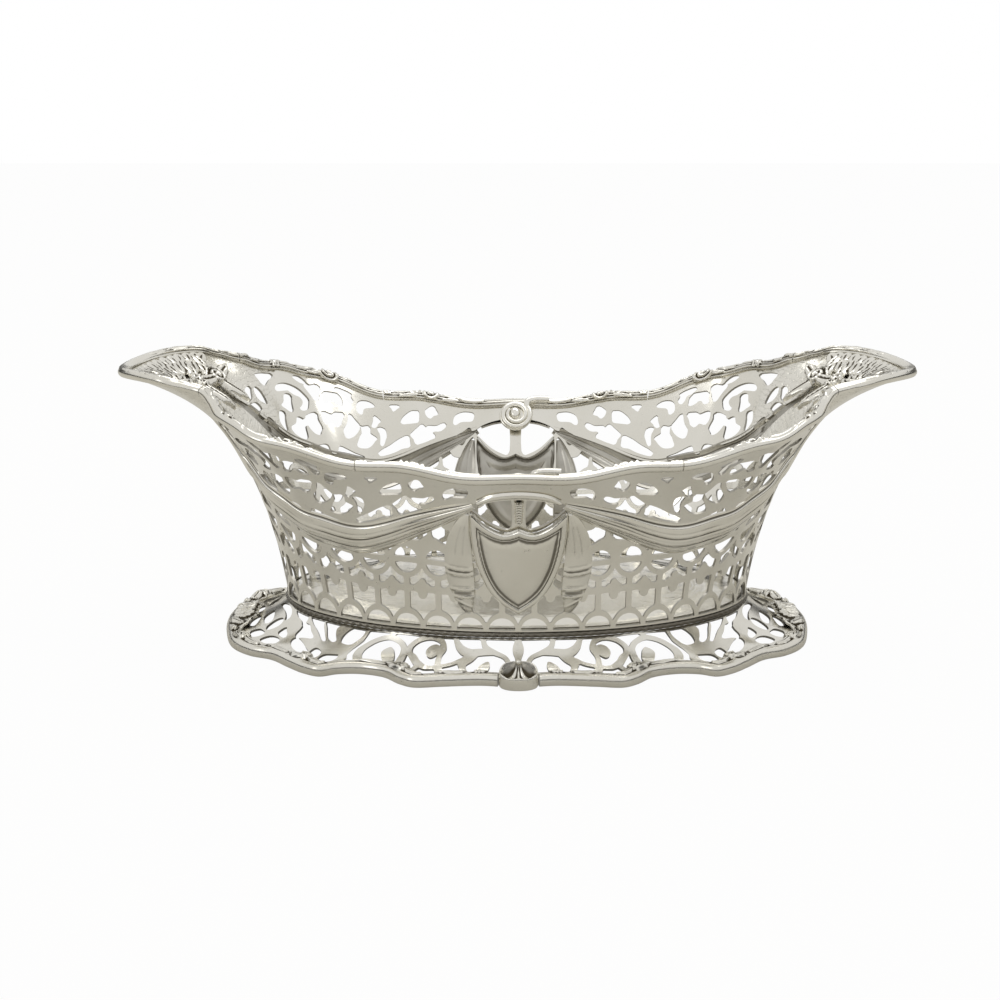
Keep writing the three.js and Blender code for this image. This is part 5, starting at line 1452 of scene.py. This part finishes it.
def chasing(tree):
    """Lines cut with a chasing tool, on the flat pattern of the wall: fans of feathers, and stipple."""
    flat = Value(tree, Value.node(tree, "ShaderNodeUVMap", {"uv_map": "pattern"}).outputs[0])
    parts = Value.node(tree, "ShaderNodeSeparateXYZ", None, {"Vector": flat})
    a, v = Value(tree, parts.outputs[0]), Value(tree, parts.outputs[1])
    region = a.between(.7, .8) * v.between(.5, .64)
    feathers = Value.node(tree, "ShaderNodeTexWave", {"wave_type": "BANDS", "bands_direction": "DIAGONAL"},
                          {"Vector": flat, "Scale": 26.0, "Distortion": 7.0, "Detail": 2.0,
                           "Detail Scale": 2.2})
    lines = Value(tree, feathers.outputs["Fac"]).between(.82, .96)
    stipple = noise(tree, flat, 300, 1).between(.55, .7) * noise(tree, flat, 14, 1).between(.5, .6)
    return region * (lines * .12 + stipple * .08)


for slot, material in (("sheet_silver", silver("old_sheet_silver", .14, .85, .11, True)),
                       ("cast_silver", silver("old_cast_silver", .17, 1.0, .07)),
                       ("field_silver", silver("old_field_silver", .13, .8, .05)),
                       ("floor_silver", silver("old_floor_silver", .12, .4, .5))):
    for piece in silvers[slot]:
        if not piece.data.materials:
            piece.data.materials.append(None)
        piece.data.materials[0] = material

# %% [markdown]
# The collar lies in shade under the bowl, and so do the sawn edges inside the openings. That shade is
# painted into their colour: the collar's wire is painted dark brown all round, a little less on its
# ridges, and the sawn edges are painted dark, which draws a fine line round every opening.

# %% Painted shade on the collar and the sawn edges
# Painted shade: the sawn edges and the collar are blended towards the dark colour.
edges = silver("sawn_edge_silver", .3, .9, .05, painted_shade=.55)
for piece in (wall_sheet, foot_sheet):
    piece.data.materials[1] = edges
collar.data.materials[0] = silver("brown_collar_silver", .22, .9, .06, painted_shade=.8)

# %% [markdown]
# The studio is plain: a pale floor, a wide soft light overhead and a weaker one from the left, and
# white all round. A low dark band, which only reflections see, stands for the dark edges of a
# photographer's tent, because polished metal has no lines without something dark to mirror.

# %% Floor, lights and camera
def mixed_by_rays(tree, kinds, plain, bright, end):
    """Send a plain shader to the end node, and a share of a bright one for each kind of ray."""
    ray = Value.node(tree, "ShaderNodeLightPath").outputs
    share = sum((Value(tree, ray[kind]) * part for kind, part in kinds.items()), start=0)
    mixed = Value.node(tree, "ShaderNodeMixShader", None, {0: share})
    tree.links.new(plain.outputs[0], mixed.inputs[1])
    tree.links.new(bright.outputs[0], mixed.inputs[2])
    tree.links.new(mixed.outputs[0], tree.nodes[end].inputs[0])


def stage_material(name, colour, whiteness):
    """A dull material of one colour that some kinds of ray see as white."""
    material = bpy.data.materials.new(name)
    material.use_nodes = True
    tree = material.node_tree
    tree.nodes.remove(tree.nodes["Principled BSDF"])
    dull = Value.node(tree, "ShaderNodeBsdfDiffuse", None, {"Color": (*colour, 1)})
    white = Value.node(tree, "ShaderNodeEmission", None, {"Color": (1, 1, 1, 1), "Strength": 1.0})
    mixed_by_rays(tree, whiteness, dull, white, "Material Output")
    return material


bpy.ops.mesh.primitive_plane_add(size=9, location=(0, 0, -.0001))
studio_floor = bpy.context.object
studio_floor.name = "studio_floor"
floor_whiteness = {"Is Camera Ray": .97, "Is Glossy Ray": .12, "Is Transmission Ray": .12}
studio_floor.data.materials.append(stage_material("pale_floor", (.62, .6, .54), floor_whiteness))

bpy.ops.mesh.primitive_cylinder_add(vertices=96, radius=1.3, depth=.24, end_fill_type="NOTHING",
                                    location=(0, 0, .17))
dark_band = bpy.context.object
dark_band.name = "dark_band"
dark_band.data.materials.append(stage_material("dark_cloth", (.03, .03, .03), {}))
dark_band.visible_camera = dark_band.visible_diffuse = dark_band.visible_shadow = False

world = bpy.data.worlds.new("studio")
bpy.context.scene.world = world
world.use_nodes = True
tree = world.node_tree
plain_light = tree.nodes["Background"]
plain_light.inputs["Color"].default_value = (1, .99, .97, 1)
plain_light.inputs["Strength"].default_value = .62
white_wall = Value.node(tree, "ShaderNodeBackground", None, {"Color": (1, 1, 1, 1)})
mixed_by_rays(tree, {"Is Camera Ray": 1, "Is Glossy Ray": .4, "Is Transmission Ray": .4},
              plain_light, white_wall, "World Output")
BASKET_MIDDLE = (0, 0, .05)


def softbox(name, place, wide, deep, watts):
    """A lamp behind a rectangle of cloth that faces the basket."""
    lamp = bpy.data.lights.new(name, "AREA")
    lamp.shape, lamp.size, lamp.size_y, lamp.energy = "RECTANGLE", wide, deep, watts
    holder = bpy.data.objects.new(name, lamp)
    bpy.context.scene.collection.objects.link(holder)
    holder.location = place
    holder.rotation_euler = (Vector(BASKET_MIDDLE) - Vector(place)).to_track_quat("-Z", "Y").to_euler()
    print("%s shines at %.2f" % (name, watts / (math.pi * wide * deep)))


softbox("overhead", (.1, .25, 1.3), 1.3, .8, 4.9)
softbox("left_front", (-1.1, -.9, .8), .6, .6, 1.3)

CAMERA_PLACE, LOOKS_DOWN = (-.0065, -.6537, .20312), 13.15
camera_data = bpy.data.cameras.new("photo_camera")
camera = bpy.data.objects.new("photo_camera", camera_data)
bpy.context.scene.collection.objects.link(camera)
camera.location = CAMERA_PLACE
camera.rotation_euler = (math.radians(90 - LOOKS_DOWN), 0, 0)
camera_data.lens, camera_data.sensor_width = 63, 36
bpy.context.scene.camera = camera
bpy.context.scene.view_settings.view_transform = "Standard"
